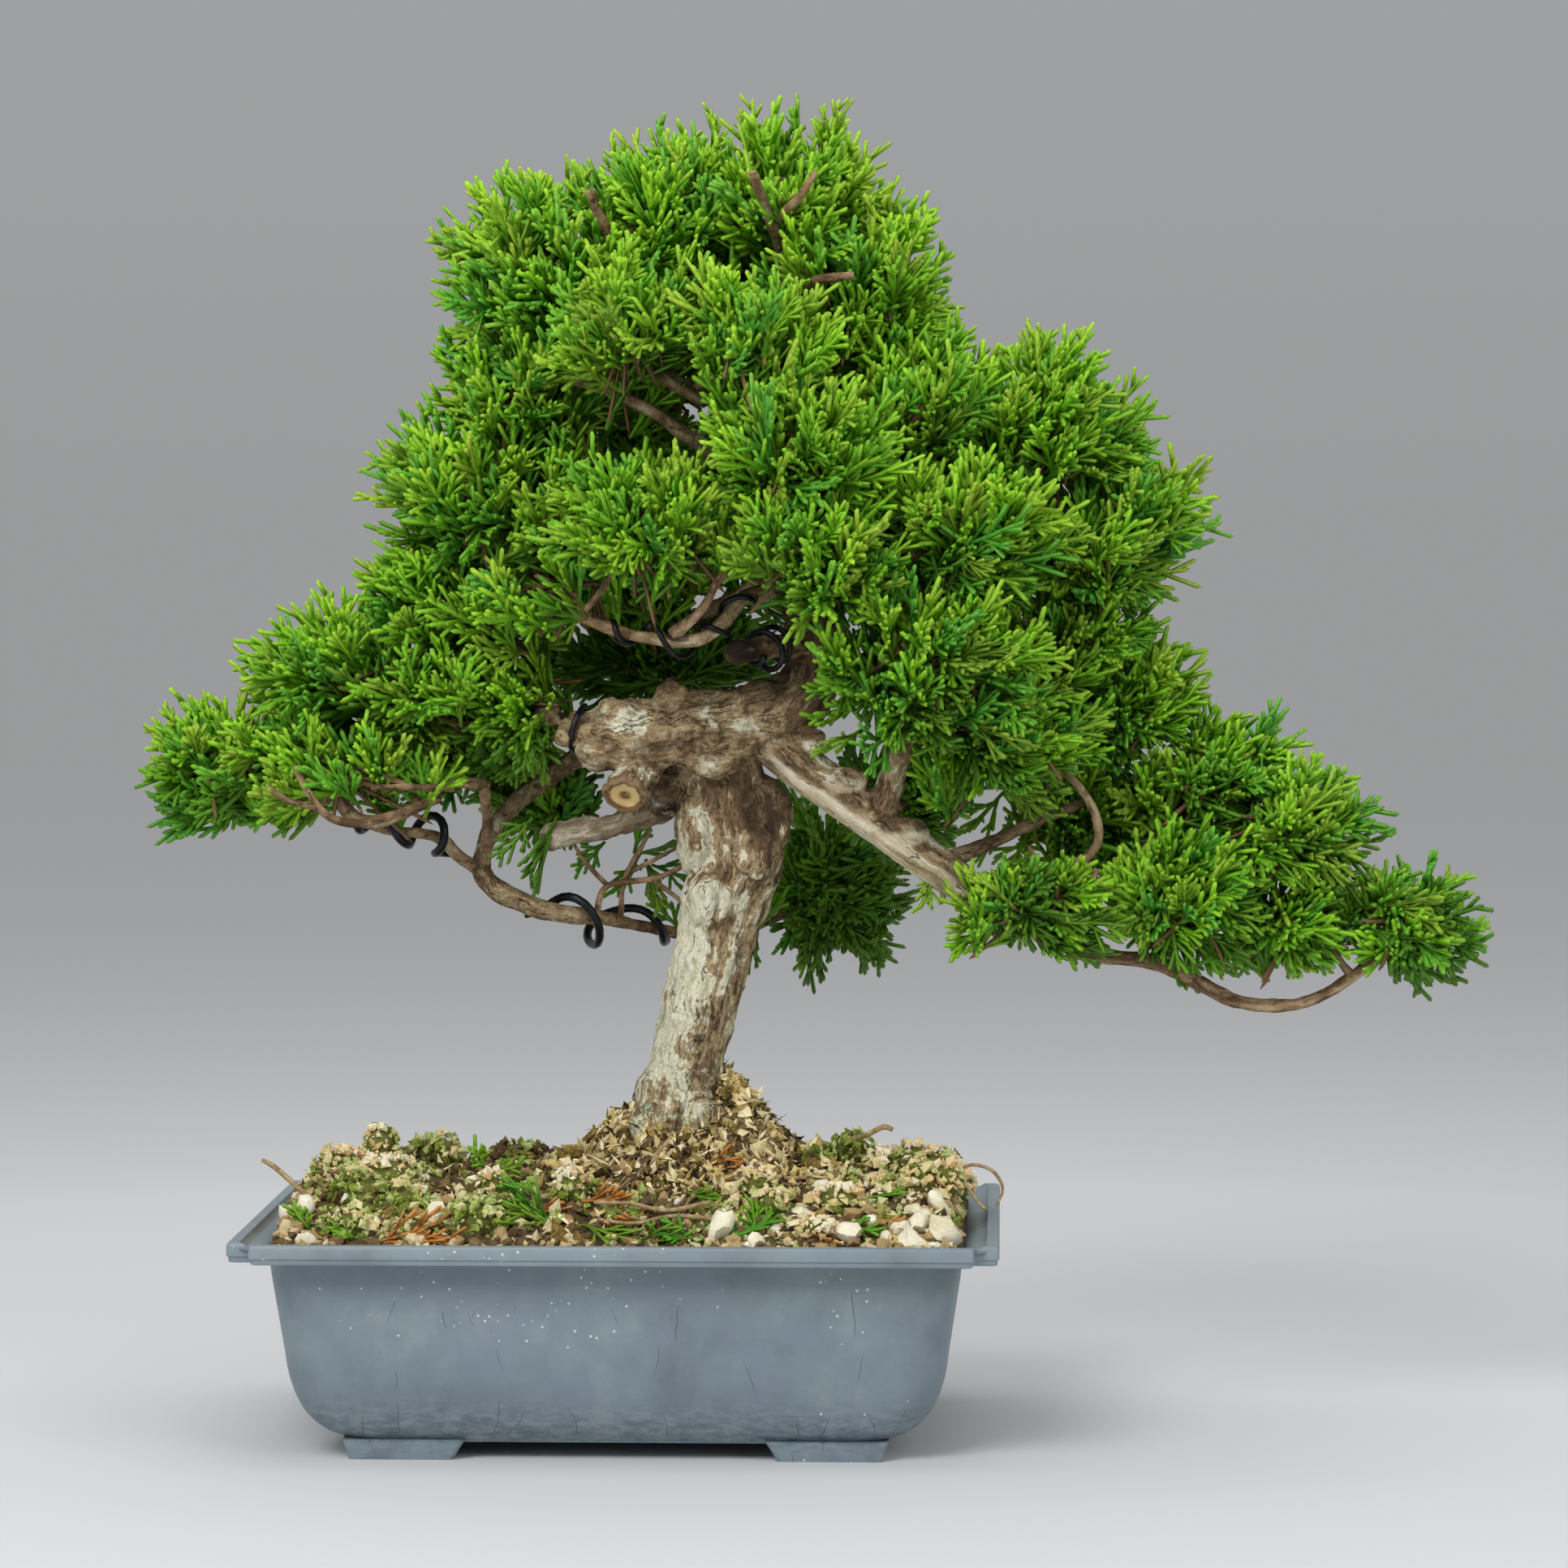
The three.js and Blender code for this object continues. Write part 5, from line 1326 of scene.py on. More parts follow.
# Middle, radii, number of crumbs and dryness of the lumps that stand up.
MOSS_LUMPS = rows_of("""
    -84 0 94 6 6 8 130 0.6, -67 12 91 9 9 6 170 0.62, -96 -12 88 9 10 7 190 0.55,
    -78 -30 87 12 9 7 220 0.82, -86 -42 82 10 8 8 200 0.55, -72 -50 80 10 8 7 180 0.5,
    -43 -42 86 5.4 5.4 5.2 90 0.72, -46 -64 77 10 7 8 220 0.53, -88 -66 75 9 7 5 130 0.42,
    -38 16 89 10 9 5 150 0.3, -16 -44 85 7 6 7 120 0.82, 46 -42 87 6 5 5 80 0.8, 50 -56 82 6 5 5 80 0.78,
    72 -50 83 8 6 5 110 0.75, 66 -72 76 6 5 4 70 0.8, 86 0 90 7 7 5 100 0.7, 96 -6 91 6 6 6 90 0.55,
    104 -4 89 8 9 6 150 0.56, 99 -34 87 6 5 6 80 0.82, 107 -28 86 6 7 7 110 0.74, 112 -8 83 4 8 6 80 0.8,
    75 6 92 8 7 7 150 0.46, 62 -8 91 6 6 4 80 0.3
""")


def moss_crumbs():
    """Crusty moss and lichen: crowded crumbs that build small hills. A lump has a core, so that no light
    falls through it."""
    rng = default_rng(23)
    places, tones, cores = [], [], []
    for mx, my, wide, deep, count, dry in MOSS_PLACES:
        x, y = (rng.normal(size=(int(count), 2)) * 0.62 * [wide, deep] + [mx, my]).T
        inside = (np.abs(x) < SOIL_X) & (np.abs(y) < SOIL_Y - 3)
        x, y = x[inside], y[inside]
        hill = 5.0 * grain(np.stack([x, y, 0 * x], -1), 7.0, 5.5)
        up = rng.uniform(0.1, 1.0, len(x))
        places.append(on_soil(x, y, hill * up - 0.8))
        tones.append(dry + 0.5 * (up - 0.65))
    for row in MOSS_LUMPS:
        middle, radii, dry = row[:3], row[3:6], row[7]
        out = even_directions(int(row[6]), rng)
        out = out[out[:, 2] > -0.5]
        lobes = 0.85 + 0.4 * grain(out * 3, 1.5, middle[0])
        places.append(middle + out * radii * lobes[:, None])
        tones.append(dry + 0.3 * (out[:, 2] - 0.3))
        core, faces = ROUND_BALL
        tone = np.full(len(core), CORE_TONE)
        cores.append(Part(middle + CORE_SHARE * core * radii, [faces], tone=tone))
    places, tones = np.vstack(places), np.concatenate(tones)
    patches = 0.9 * (grain(places, 8.0, 2.5) - 0.5)
    tones = tones + patches + rng.normal(0, 0.12, len(places)) - 0.05
    size = rng.gamma(6.0, 0.235, len(places)).clip(0.6, 2.5)
    crumbs = stones(places, size, CHIP, rng, rough=0.4, flat=0.62, tone=tones.clip(0, 1))
    return joined([crumbs, *cores])


# %% [markdown]
# ## Cords and sprays
# Itoigawa juniper has no needles: its leaves are tiny scales pressed round thin green cords. A cord
# forks to the left and the right by turns, so that a shoot makes a flat spray, like a feather. A
# particle system would be quicker to set up, but it can't be exported, so every cord is real mesh: a
# tapered tube of three sides with a point.

# %% Cords
CORD_SIDES = 3
# Shapes of a cord: shares of its length, and of its radius there. It ends in a point.
LONG_CORD = [(0.0, 0.75), (0.5, 1.0), (0.95, 0.82)]
SIDE_CORD = [(0.0, 0.88), (0.9, 0.88)]
FIBRE = [(0.0, 0.5), (0.35, 1.0), (0.7, 0.8)]


def cords(start, ahead, turn, length, radius, shape, **marks):
    """Many pointed cords at once. Each leaves its start, bends by turn, and is as long as length. A mark
    has a value at the start and one at the tip."""
    share, width = np.array(shape).T
    rings = len(share)
    s = np.append(share, 1.0)[None, :, None]
    middle = start[:, None] + length[:, None, None] * (s * ahead[:, None] + s**2 / 2 * turn[:, None])
    steep = np.abs(ahead[:, 2:]) > 0.9
    across = unit(np.cross(ahead, np.where(steep, [1.0, 0, 0], [0, 0, 1.0])))
    up = np.cross(ahead, across)
    angle = np.arange(CORD_SIDES) * 2 * np.pi / CORD_SIDES
    spokes = np.cos(angle)[:, None] * across[:, None] + np.sin(angle)[:, None] * up[:, None]
    reach = (radius[:, None] * width)[..., None, None]
    skin_points = middle[:, :-1, None] + spokes[:, None] * reach
    skin_points = skin_points.reshape(len(start), rings * CORD_SIDES, 3)
    points = np.concatenate([skin_points, middle[:, -1:]], axis=1)

    here = np.arange(CORD_SIDES)
    after = np.roll(here, -1)
    quads = [
        np.stack([here, after, after + CORD_SIDES, here + CORD_SIDES], -1) + ring * CORD_SIDES
        for ring in range(rings - 1)
    ]
    last = (rings - 1) * CORD_SIDES
    point = np.stack([here + last, after + last, np.full(CORD_SIDES, rings * CORD_SIDES)], -1)
    root = here[None, ::-1]
    first = (np.arange(len(start)) * points.shape[1])[:, None, None]
    faces = [
        (np.vstack(quads)[None] + first).reshape(-1, 4),
        (point[None] + first).reshape(-1, 3),
        (root[None] + first).reshape(-1, 3),
    ]
    where = np.append(np.repeat(share, CORD_SIDES), 1.0)
    for name, (low, high) in marks.items():
        low = np.broadcast_to(low, len(start))[:, None]
        high = np.broadcast_to(high, len(start))[:, None]
        marks[name] = (low + (high - low) * where).ravel()
    return Part(points, faces, **marks)


# %% Sprays
# The angle of a fork, a cord's radius, and the shortest and longest side cords and last cords. A real
# cord is 0.8 mm in radius: fewer and thicker ones fill the same brush.
FORK = math.radians(34)
CORD_RADIUS = 1.12
SIDE_LENGTHS = (5.0, 16.0)
LAST_LENGTHS = (3.0, 9.0)
# Where along a side cord its own forks leave, and to which side.
LAST_FORKS = ((0.3, 1.0), (0.56, -1.0))


def sprays(root, tip, fresh, rng, side_cords=6, forked=3, girth=1.0):
    """Flat sprays of forked cords. Each runs from its root to its tip, and its colour follows its
    fresh-and-lit mark, which holds new growth and also painted light and shade. The first side cords, as
    many as forked, fork once more."""
    count = len(root)
    length = np.linalg.norm(tip - root, axis=1)
    ahead = unit(tip - root)
    flat = unit(np.cross(ahead, rng.normal(size=(count, 3))))
    turn = rng.normal(0, 0.13, (count, 3)) + [0, 0, 0.2]
    turn -= ahead * np.sum(turn * ahead, axis=1, keepdims=True)
    ahead = ahead - turn / 2
    thick = girth * CORD_RADIUS * rng.uniform(0.86, 1.1, count)
    tint = rng.uniform(0, 1, count)
    same = dict(fresh=(fresh, fresh), tint=(tint, tint))
    made = [cords(root, ahead, turn, length, thick, LONG_CORD, tip=(0, 0.9), **same)]
    handed = rng.choice([-1.0, 1.0], count)
    for k in range(side_cords):
        s = (0.12 + 0.72 * (k + rng.uniform(-0.3, 0.3, count)) / (side_cords - 1))[:, None]
        at = root + length[:, None] * (s * ahead + s**2 / 2 * turn)
        along = unit(ahead + s * turn)
        sign = (handed * (-1) ** k)[:, None]
        fork = FORK + rng.normal(0, 0.13, (count, 1))
        out = np.cos(fork) * along + np.sin(fork) * sign * np.cross(flat, along)
        out = unit(out + 0.26 * rng.normal(size=(count, 1)) * flat)
        inward = 0.45 * (along - out) + rng.normal(0, 0.06, (count, 3))
        long = length * (0.5 * (1 - s[:, 0]) + 0.22) * rng.uniform(0.78, 1.2, count)
        long = np.clip(long, *SIDE_LENGTHS)
        low = 0.1 + 0.5 * s[:, 0]
        high = 0.62 + 0.38 * s[:, 0]
        made.append(cords(at, out, inward, long, thick * 0.93, SIDE_CORD, tip=(low, high), **same))
        if k >= forked:
            continue
        for q, turned in LAST_FORKS:
            at_fork = at + long[:, None] * (q * out + q**2 / 2 * inward)
            along_side = unit(out + q * inward)
            leaf = unit(along_side + turned * sign * 0.62 * np.cross(flat, along_side))
            leaf = unit(leaf + rng.normal(0, 0.14, (count, 3)))
            short = long * (0.72 - 0.4 * q) * rng.uniform(0.7, 1.2, count)
            short = np.clip(short, *LAST_LENGTHS)
            bend = 0.4 * (along_side - leaf)
            tips = (low + 0.2, high)
            made.append(cords(at_fork, leaf, bend, short, thick * 0.88, SIDE_CORD, tip=tips, **same))
    return joined(made)


# %% Lay the litter
# The foot of the trunk, which the collar and the roots spread from.
TRUNK_X = 24


def around_trunk(count, rng, near, far):
    """Places on the collar between two distances from the middle of the trunk."""
    heading = rng.uniform(0, 2 * np.pi, count)
    reach = near + (far - near) * rng.uniform(0, 1, count) ** 1.3
    return TRUNK_X + 1.15 * reach * np.cos(heading), 2 + reach * np.sin(heading)


def litter_fibres():
    """Dry moss stems and shreds of bark in a collar round the trunk, thinning out over the bed."""
    rng = default_rng(24)
    x, y = np.hstack([around_trunk(1350, rng, 8, 50), in_pot(420, rng, 6)])
    inside = np.abs(y) < SOIL_Y - 7
    x, y = x[inside], y[inside]
    count = len(x)
    heading = rng.uniform(0, 2 * np.pi, count)
    length = rng.gamma(6.0, 0.9, count).clip(2.2, 9)
    reach = 0.5 * length
    ex, ey = x + np.cos(heading) * reach, y + np.sin(heading) * reach
    slope = (soil_height(ex, ey) - soil_height(x, y)) / reach
    rise = slope + rng.uniform(-0.1, 0.35, count)
    ahead = unit(np.stack([np.cos(heading), np.sin(heading), rise], -1))
    turn = rng.normal(0, 1.0, (count, 3)) - [0, 0, 0.9]
    start = on_soil(x, y, rng.uniform(-0.4, 1.8, count))
    radius = rng.uniform(0.3, 0.8, count)
    tone = rng.beta(0.6, 0.5, count)
    return cords(start, ahead, turn, length, radius, FIBRE, tone=(tone, tone))


# A crumb drawn out to a long flake.
SPLINTER = (CHIP[0] * [1.7, 0.9, 0.7], CHIP[1])


def litter_flakes():
    """Long flakes of shed bark in the same collar."""
    rng = default_rng(25)
    x, y = np.hstack([around_trunk(2700, rng, 8, 46), in_pot(400, rng, 4)])
    size = rng.gamma(5.0, 0.31, len(x)).clip(0.6, 2.9)
    places = on_soil(x, y, rng.uniform(-0.2, 4.2, len(x)))
    tone = 0.9 * rng.beta(0.5, 0.5, len(x)) + 0.6 * grain(places, 7.0, 9.1) - 0.22
    return stones(places, size, SPLINTER, rng, rough=0.4, flat=0.5, tone=tone.clip(0, 1))


ROOT_COUNT = 44
# Stems that are listed one by one, each point with its radius. The first two hang over the rim.
LOOSE_STEMS = [
    [
        (108, -20, 84, 0.7), (114, -22, 91, 0.6), (122, -24, 90, 0.6), (126, -24, 84, 0.55),
        (124, -24, 78, 0.5),
    ],
    [(106, -24, 84, 0.7), (113, -30, 86, 0.6), (118, -34, 80, 0.5), (121, -36, 78, 0.45)],
    [(-100, -50, 80, 1.1), (-106, -50, 86, 1.0), (-114, -50, 93, 0.9), (-118, -49, 95, 0.7)],
    [(30, -52, 82, 0.9), (16, -58, 80, 0.9), (4, -56, 82, 0.8), (-8, -54, 82, 0.7)],
    [(66, -26, 88, 0.8), (54, -34, 88, 0.8), (44, -32, 91, 0.7), (40, -30, 94, 0.6)],
    [(72, 2, 96, 1.1), (80, -2, 99, 1.0), (86, -4, 102, 1.0), (89, -4, 101, 0.8)],
    [(40, -66, 77, 0.8), (20, -64, 79, 0.8), (6, -68, 77, 0.7), (-6, -66, 78, 0.6)],
    [(88, -64, 77, 0.7), (72, -66, 77, 0.7), (58, -64, 78, 0.6)],
]


def roots_and_stems():
    """Thin roots that run down the mound from the trunk, and the loose stems round them."""
    rng = default_rng(26)
    parts = [tube(smooth_line(rows, 1.8), 6, tone=0.5) for rows in LOOSE_STEMS]
    for heading in rng.uniform(-2.9, 0.5, ROOT_COUNT):
        steps = rng.integers(7, 13)
        reach = rng.uniform(12, 24) + 4.2 * np.arange(steps)
        turn = heading + rng.normal(0, 0.035, steps).cumsum()
        x, y = TRUNK_X + 1.1 * reach * np.cos(turn), 4 + reach * np.sin(turn)
        x, y = x.clip(-104, 104), y.clip(-74, 74)
        arch = rng.uniform(0.4, 2.4) * np.sin(np.linspace(0.3, 3.0, steps))
        arch = arch + rng.normal(0, 0.35, steps)
        radius = rng.uniform(0.65, 1.35) * np.linspace(1.0, 0.45, steps)
        rows = np.column_stack([on_soil(x, y, 0.6 + arch), radius])
        parts.append(tube(smooth_line(rows, 2.2), 5, tone=rng.uniform(0.0, 0.75)))
    return joined(parts)


# Where each fallen sprig starts and ends on the bed, and how high both are above it.
GREEN_SPRIGS = rows_of("""
    -47 -30 -34 -28 4 6, -47 -30 -36 -30 2 1, -46 -29 -50 -28 6 12, -20 -63 -44 -58 1 7,
    -20 -63 -42 -66 1 3, -21 -63 -38 -52 1 9, -11 -65 10 -76 2 1, 2 -74 24 -74 1 2, 30 -74 12 -73 1 3,
    35 -74 52 -66 1 4, 46 -70 44 -60 1 8, 83 -46 94 -40 2 3, -100 -68 -106 -66 1 8, -84 -74 -92 -72 1 5,
    22 -44 34 -48 2 2, 74 -66 86 -70 2 3
""")
DEAD_SPRIGS = rows_of("""
    -79 -77 -52 -66 1 5, -74 -76 -50 -74 1 2, -70 -74 -56 -76 2 1, -12 -52 4 -48 2 3, 20 -22 36 -26 2 2,
    24 -24 43 -30 2 1, -30 -58 -16 -56 2 2, 84 -62 96 -62 2 2, 12 -62 -2 -66 2 2, 60 -70 72 -76 2 1,
    -56 20 -44 18 3 3
""")
FALLEN_FRESH = 0.38


def fallen_sprigs(rows, seed, girth):
    """Sprigs of the same foliage that lie on the bed."""
    rng = default_rng(seed)
    rx, ry, tx, ty, root_lift, tip_lift = rows.T
    roots, tips = on_soil(rx, ry, root_lift), on_soil(tx, ty, tip_lift)
    return sprays(roots, tips, np.full(len(rows), FALLEN_FRESH), rng, girth=girth)


# %% [markdown]
# The finishes of the bed. Fired clay and bark are matt and brown to ochre; pumice is chalk white with
# a yellow tinge; dry moss and lichen run from olive to pale straw. Each grain has its own tone, a mark
# that is the same over the whole grain, because a natural mix differs from grain to grain. Only pumice
# is mottled within a grain.

# %% Bed finishes
def toned_material(name, stops, size, contrast=0.35, bump=0.6, roughness=0.9):
    """Matt stuff coloured by the tone of each grain, mottled with lumps of a size in millimetres."""
    material, add = new_material(name)
    tone = add("Attribute", attribute_name="tone").outputs["Fac"]
    place = add("TexCoord").outputs["Object"]
    lumps = add("TexNoise", {"Vector": place, "Scale": 1000 / size, "Detail": 4.0, "Roughness": 0.6})
    shade = add("Math", {0: lumps, 1: 0.5}, operation="SUBTRACT")
    shade = add("Math", {0: shade, 1: 2 * contrast, 2: tone}, operation="MULTIPLY_ADD")
    colour = add("ValToRGB", {"Fac": shade}, stops=stops)
    relief = add("Bump", {"Height": lumps, "Strength": bump, "Distance": 0.0006})
    shader = add(
        "BsdfPrincipled",
        {"Base Color": colour, "Roughness": roughness, "IOR": 1.5, "Normal": relief},
    )
    shader.inputs["Specular IOR Level"].default_value = 0.25
    add("OutputMaterial", {"Surface": shader})
    return material


# The real names of the finishes, and their colours from the darkest grain to the palest.
loam = toned_material(
    "bonsai_soil_mix",
    [(0.0, "#241C13"), (0.35, "#463726"), (0.65, "#6E5A3D"), (1.0, "#8E7950")],
    size=3.0,
    contrast=0.5,
)
clay = toned_material(
    "fired_clay_grains",
    [(0.0, "#4C3B28"), (0.35, "#836C48"), (0.65, "#B89C6C"), (1.0, "#E2D3A8")],
    size=1.5,
    contrast=0.2,
)
volcanic = toned_material(
    "pumice",
    [(0.0, "#DDD0A8"), (0.45, "#F6EED2"), (1.0, "#FFFCEF")],
    size=1.2,
    contrast=0.5,
    bump=0.8,
)
crust = toned_material(
    "dry_moss_and_lichen",
    [
        (0.0, "#4C3A27"), (0.14, "#7C6544"), (0.27, "#64752A"), (0.4, "#98AB3F"), (0.54, "#B8C47E"),
        (0.68, "#E4DDA4"), (0.82, "#EAC080"), (1.0, "#FFF7D8"),
    ],
    size=0.9,
    contrast=0.36,
    bump=1.0,
)
straw = toned_material(
    "dry_plant_litter",
    [(0.0, "#2C2114"), (0.25, "#80672F"), (0.55, "#D8BF7C"), (1.0, "#FFF2C4")],
    size=1.1,
    contrast=0.34,
    bump=0.9,
)
root_bark = toned_material(
    "root_bark",
    [(0.0, "#4A3A28"), (0.4, "#947B57"), (0.7, "#C4AD82"), (1.0, "#EADCB8")],
    size=2.2,
    contrast=0.6,
)

bed = soil_bed()
bed.marks["tone"] = np.full(len(bed.points), 0.54)
piece("soil_bed", bed, loam, replaces=["soil"])
piece("soil_grains", soil_grains(), clay, smooth=False, replaces=["soil"])
pumice_part = pumice()
pumice_part.marks["tone"] = grain(pumice_part.points, 6.0, 1.0)
piece("pumice_grains", pumice_part, volcanic, smooth=45, replaces=["soil"])
piece("moss_crust", moss_crumbs(), crust, smooth=False, replaces=["soil"])
piece("litter_fibres", litter_fibres(), straw, replaces=["soil"])
piece("litter_flakes", litter_flakes(), straw, smooth=False, replaces=["soil"])
piece("surface_roots", roots_and_stems(), root_bark, replaces=["soil"])

# %% [markdown]
# ## The foliage
# Sprays don't grow evenly over a ball. Each shoot carries a few of them, one ahead and others round it,
# and the shoots of a brush all turn outwards and up to the light. So a brush is made of tufts: a tuft
# has a shoot with four sprays, and its place is kept only where no neighbouring brush is in the way.
# Inside, plainer sprays stop the eye from looking through; they are darkened as painted shade.

# %% Tufts in brushes
PAD_MIDDLES, PAD_HALVES = np.array(list(PADS.values())).swapaxes(0, 1)
# The middle of the tree, which all tufts turn away from, and how far apart tufts stand.
HEART = np.array([45.0, 0.0, 262.0])
TUFT_SPACING = 21.0
# The tree stays in the CAD model's box: room for the ends of sprays, and for the skin of a cord.
TIP_MARGIN = np.array([4.5, 4.5, 2.0])
BOX_LOW, BOX_HIGH = ((np.array(corner) - POT_MIDDLE) * 1000 for corner in cad_box)
ROOM_LOW, ROOM_HIGH = BOX_LOW + TIP_MARGIN, BOX_HIGH - TIP_MARGIN
SKIN_MARGIN = 0.3
SPRAYS_IN_TUFT = 4
SHOOT_LENGTHS = (24, 36)
# How far out the tufts of a brush end, as shares of its half size; one brush has grown ragged.
REACH = (0.9, 1.09)
RAGGED = {"low_back_right": (0.66, 1.22)}
# Brushes that the rest of the tree keeps in the shade, and the share of the fresh-and-lit mark they keep:
# painted shade that dulls them.
SHADED = {"low_back_right": 0.3, "low_back_left": 0.4, "window_back": 0.4, "right_behind": 0.5}
# Inside a brush there are fewer tufts, which end at these shares of its half size.
INNER_SHARE = 0.5
INNER_REACH = (0.5, 0.75)


def depth_in_others(points, own):
    """How near each point is to the middle of another brush: under 1 is inside it."""
    others = np.arange(len(PAD_MIDDLES)) != own
    apart = (points[:, None] - PAD_MIDDLES[None, others]) / PAD_HALVES[None, others]
    return np.linalg.norm(apart, axis=-1).min(axis=1)


# Where the tree is open to the front: low and high corners of x and z, and the y it reaches back to.
CLEARINGS = [
    ((-30, 258), (54, 292), 30), ((-24, 222), (64, 262), 40), ((2, 100), (52, 232), 30),
    ((-16, 330), (28, 360), -14), ((-112, 196), (-48, 212), 60), ((-112, 212), (-52, 224), -30),
]


def in_clearing(points):
    x, y, z = points.T
    inside = np.zeros(len(points), bool)
    for (x0, z0), (x1, z1), back in CLEARINGS:
        inside |= (x > x0) & (x < x1) & (z > z0) & (z < z1) & (y < back)
    return inside


def tufts(number, rng, inner):
    """Roots, tips and the fresh-and-lit mark of the sprays of one brush, and the roots of its tufts."""
    middle, half = PAD_MIDDLES[number], PAD_HALVES[number]
    a, b, c = half * 1.05
    area = 4 * math.pi * (((a * b) ** 1.6 + (a * c) ** 1.6 + (b * c) ** 1.6) / 3) ** (1 / 1.6)
    count = int(area / TUFT_SPACING**2 * (INNER_SHARE if inner else 1.0)) + 2
    toward = even_directions(count, rng)
    near, far = INNER_REACH if inner else RAGGED.get(list(PADS)[number], REACH)
    reach = rng.uniform(near, far, count)
    ends = middle + half * toward * reach[:, None]
    kept = (depth_in_others(ends, number) > (0.6 if inner else 0.88)) & ~in_clearing(ends)
    toward, ends = toward[kept], ends[kept]
    count = len(ends)
    radial = unit(toward * half)
    outward = unit(ends - HEART)
    heading = unit(0.55 * radial + 0.4 * outward + [0, 0, 0.3] + rng.normal(0, 0.15, (count, 3)))
    long = rng.uniform(*SHOOT_LENGTHS, count) * min(1.0, 0.55 + half.min() / 60)
    roots = ends - heading * long[:, None]
    # Painted light: a spray that faces up is drawn fresher and lighter, one that faces down duller and
    # darker, and sprays inside the brush darker still as painted shade.
    light = 0.5 + 0.5 * (0.65 * heading[:, 2] + 0.45 * (0.8 * radial[:, 2] + 0.3 * outward[:, 2]))
    fresh = np.clip(light + rng.normal(0, 0.16, count), 0, 1) * (0.45 if inner else 1.0)
    fresh *= SHADED.get(list(PADS)[number], 1.0)
    side = unit(np.cross(heading, rng.normal(size=(count, 3))))
    other = np.cross(heading, side)
    starts, tips, shine = [roots], [ends], [fresh]
    spin = rng.uniform(0, 2 * np.pi, count)
    for k in range(SPRAYS_IN_TUFT - 1):
        angle = spin + 2 * np.pi * k / (SPRAYS_IN_TUFT - 1) + rng.normal(0, 0.25, count)
        lean = rng.uniform(0.35, 0.85, count)
        away = np.cos(angle)[:, None] * side + np.sin(angle)[:, None] * other
        out = unit(np.cos(lean)[:, None] * heading + np.sin(lean)[:, None] * away + [0, 0, 0.12])
        start = roots + heading * (long * rng.uniform(0.0, 0.35, count))[:, None]
        tip = start + out * (long * rng.uniform(0.6, 0.85, count))[:, None]
        open_place = ~in_clearing(tip)
        starts.append(start[open_place])
        tips.append(tip[open_place])
        shine.append(np.clip(fresh + rng.normal(0, 0.08, count), 0, 1)[open_place])
    tips = np.clip(np.vstack(tips), ROOM_LOW, ROOM_HIGH)
    return np.vstack(starts), tips, np.concatenate(shine), roots


# A brush's twigs fork from its middle to a few hubs, and from there to the tufts.
TWIG_HUBS = 6
HUB_TWIG = 1.3
TUFT_TWIG = 0.9


def brush(number):
    """The foliage of one CAD node: twigs from its middle, tufts on its outside, and plain sprays within
    that are darkened as painted shade.
    """
    rng = default_rng(500 + number)
    middle, half = PAD_MIDDLES[number], PAD_HALVES[number]
    roots, tips, fresh, outer = tufts(number, rng, inner=False)
    dim_roots, dim_tips, dim_fresh, inner = tufts(number, rng, inner=True)
    shoots = np.vstack([outer, inner])
    hubs = middle + 0.3 * half * even_directions(TWIG_HUBS, rng)
    nearest = np.linalg.norm(shoots[:, None] - hubs[None], axis=-1).argmin(axis=1)
    starts = np.vstack([np.repeat(middle[None], TWIG_HUBS, 0), hubs[nearest]])
    gap = np.vstack([hubs, shoots]) - starts
    thick = np.concatenate([np.full(TWIG_HUBS, HUB_TWIG), np.full(len(shoots), TUFT_TWIG)])
    bend = rng.normal(0, 0.1, gap.shape)
    long = np.linalg.norm(gap, axis=1) + 3.0
    marks = dict(wood=(1, 1), fresh=(0.5, 0.5), tint=(0, 0))
    twigs = cords(starts, unit(gap), bend, long, thick, SIDE_CORD, **marks)
    outside = sprays(roots, tips, fresh, rng)
    within = sprays(dim_roots, dim_tips, dim_fresh, rng, side_cords=5, forked=0)
    made = joined([outside, within, twigs])
    made.points = np.clip(made.points, BOX_LOW + SKIN_MARGIN, BOX_HIGH - SKIN_MARGIN)
    return made


# %% [markdown]
# The finish of the cords: living scale leaves have a waxy cuticle, so the colour is fresh and the gloss is
# soft. New growth at the tips is lime and older cords are deep green. Sprays that face the light are
# painted fresher and lighter, and those that face down or lie in shade are painted dull and dark. The
# scales are about 1.2 mm long, and show as a fine ripple of light and dark.

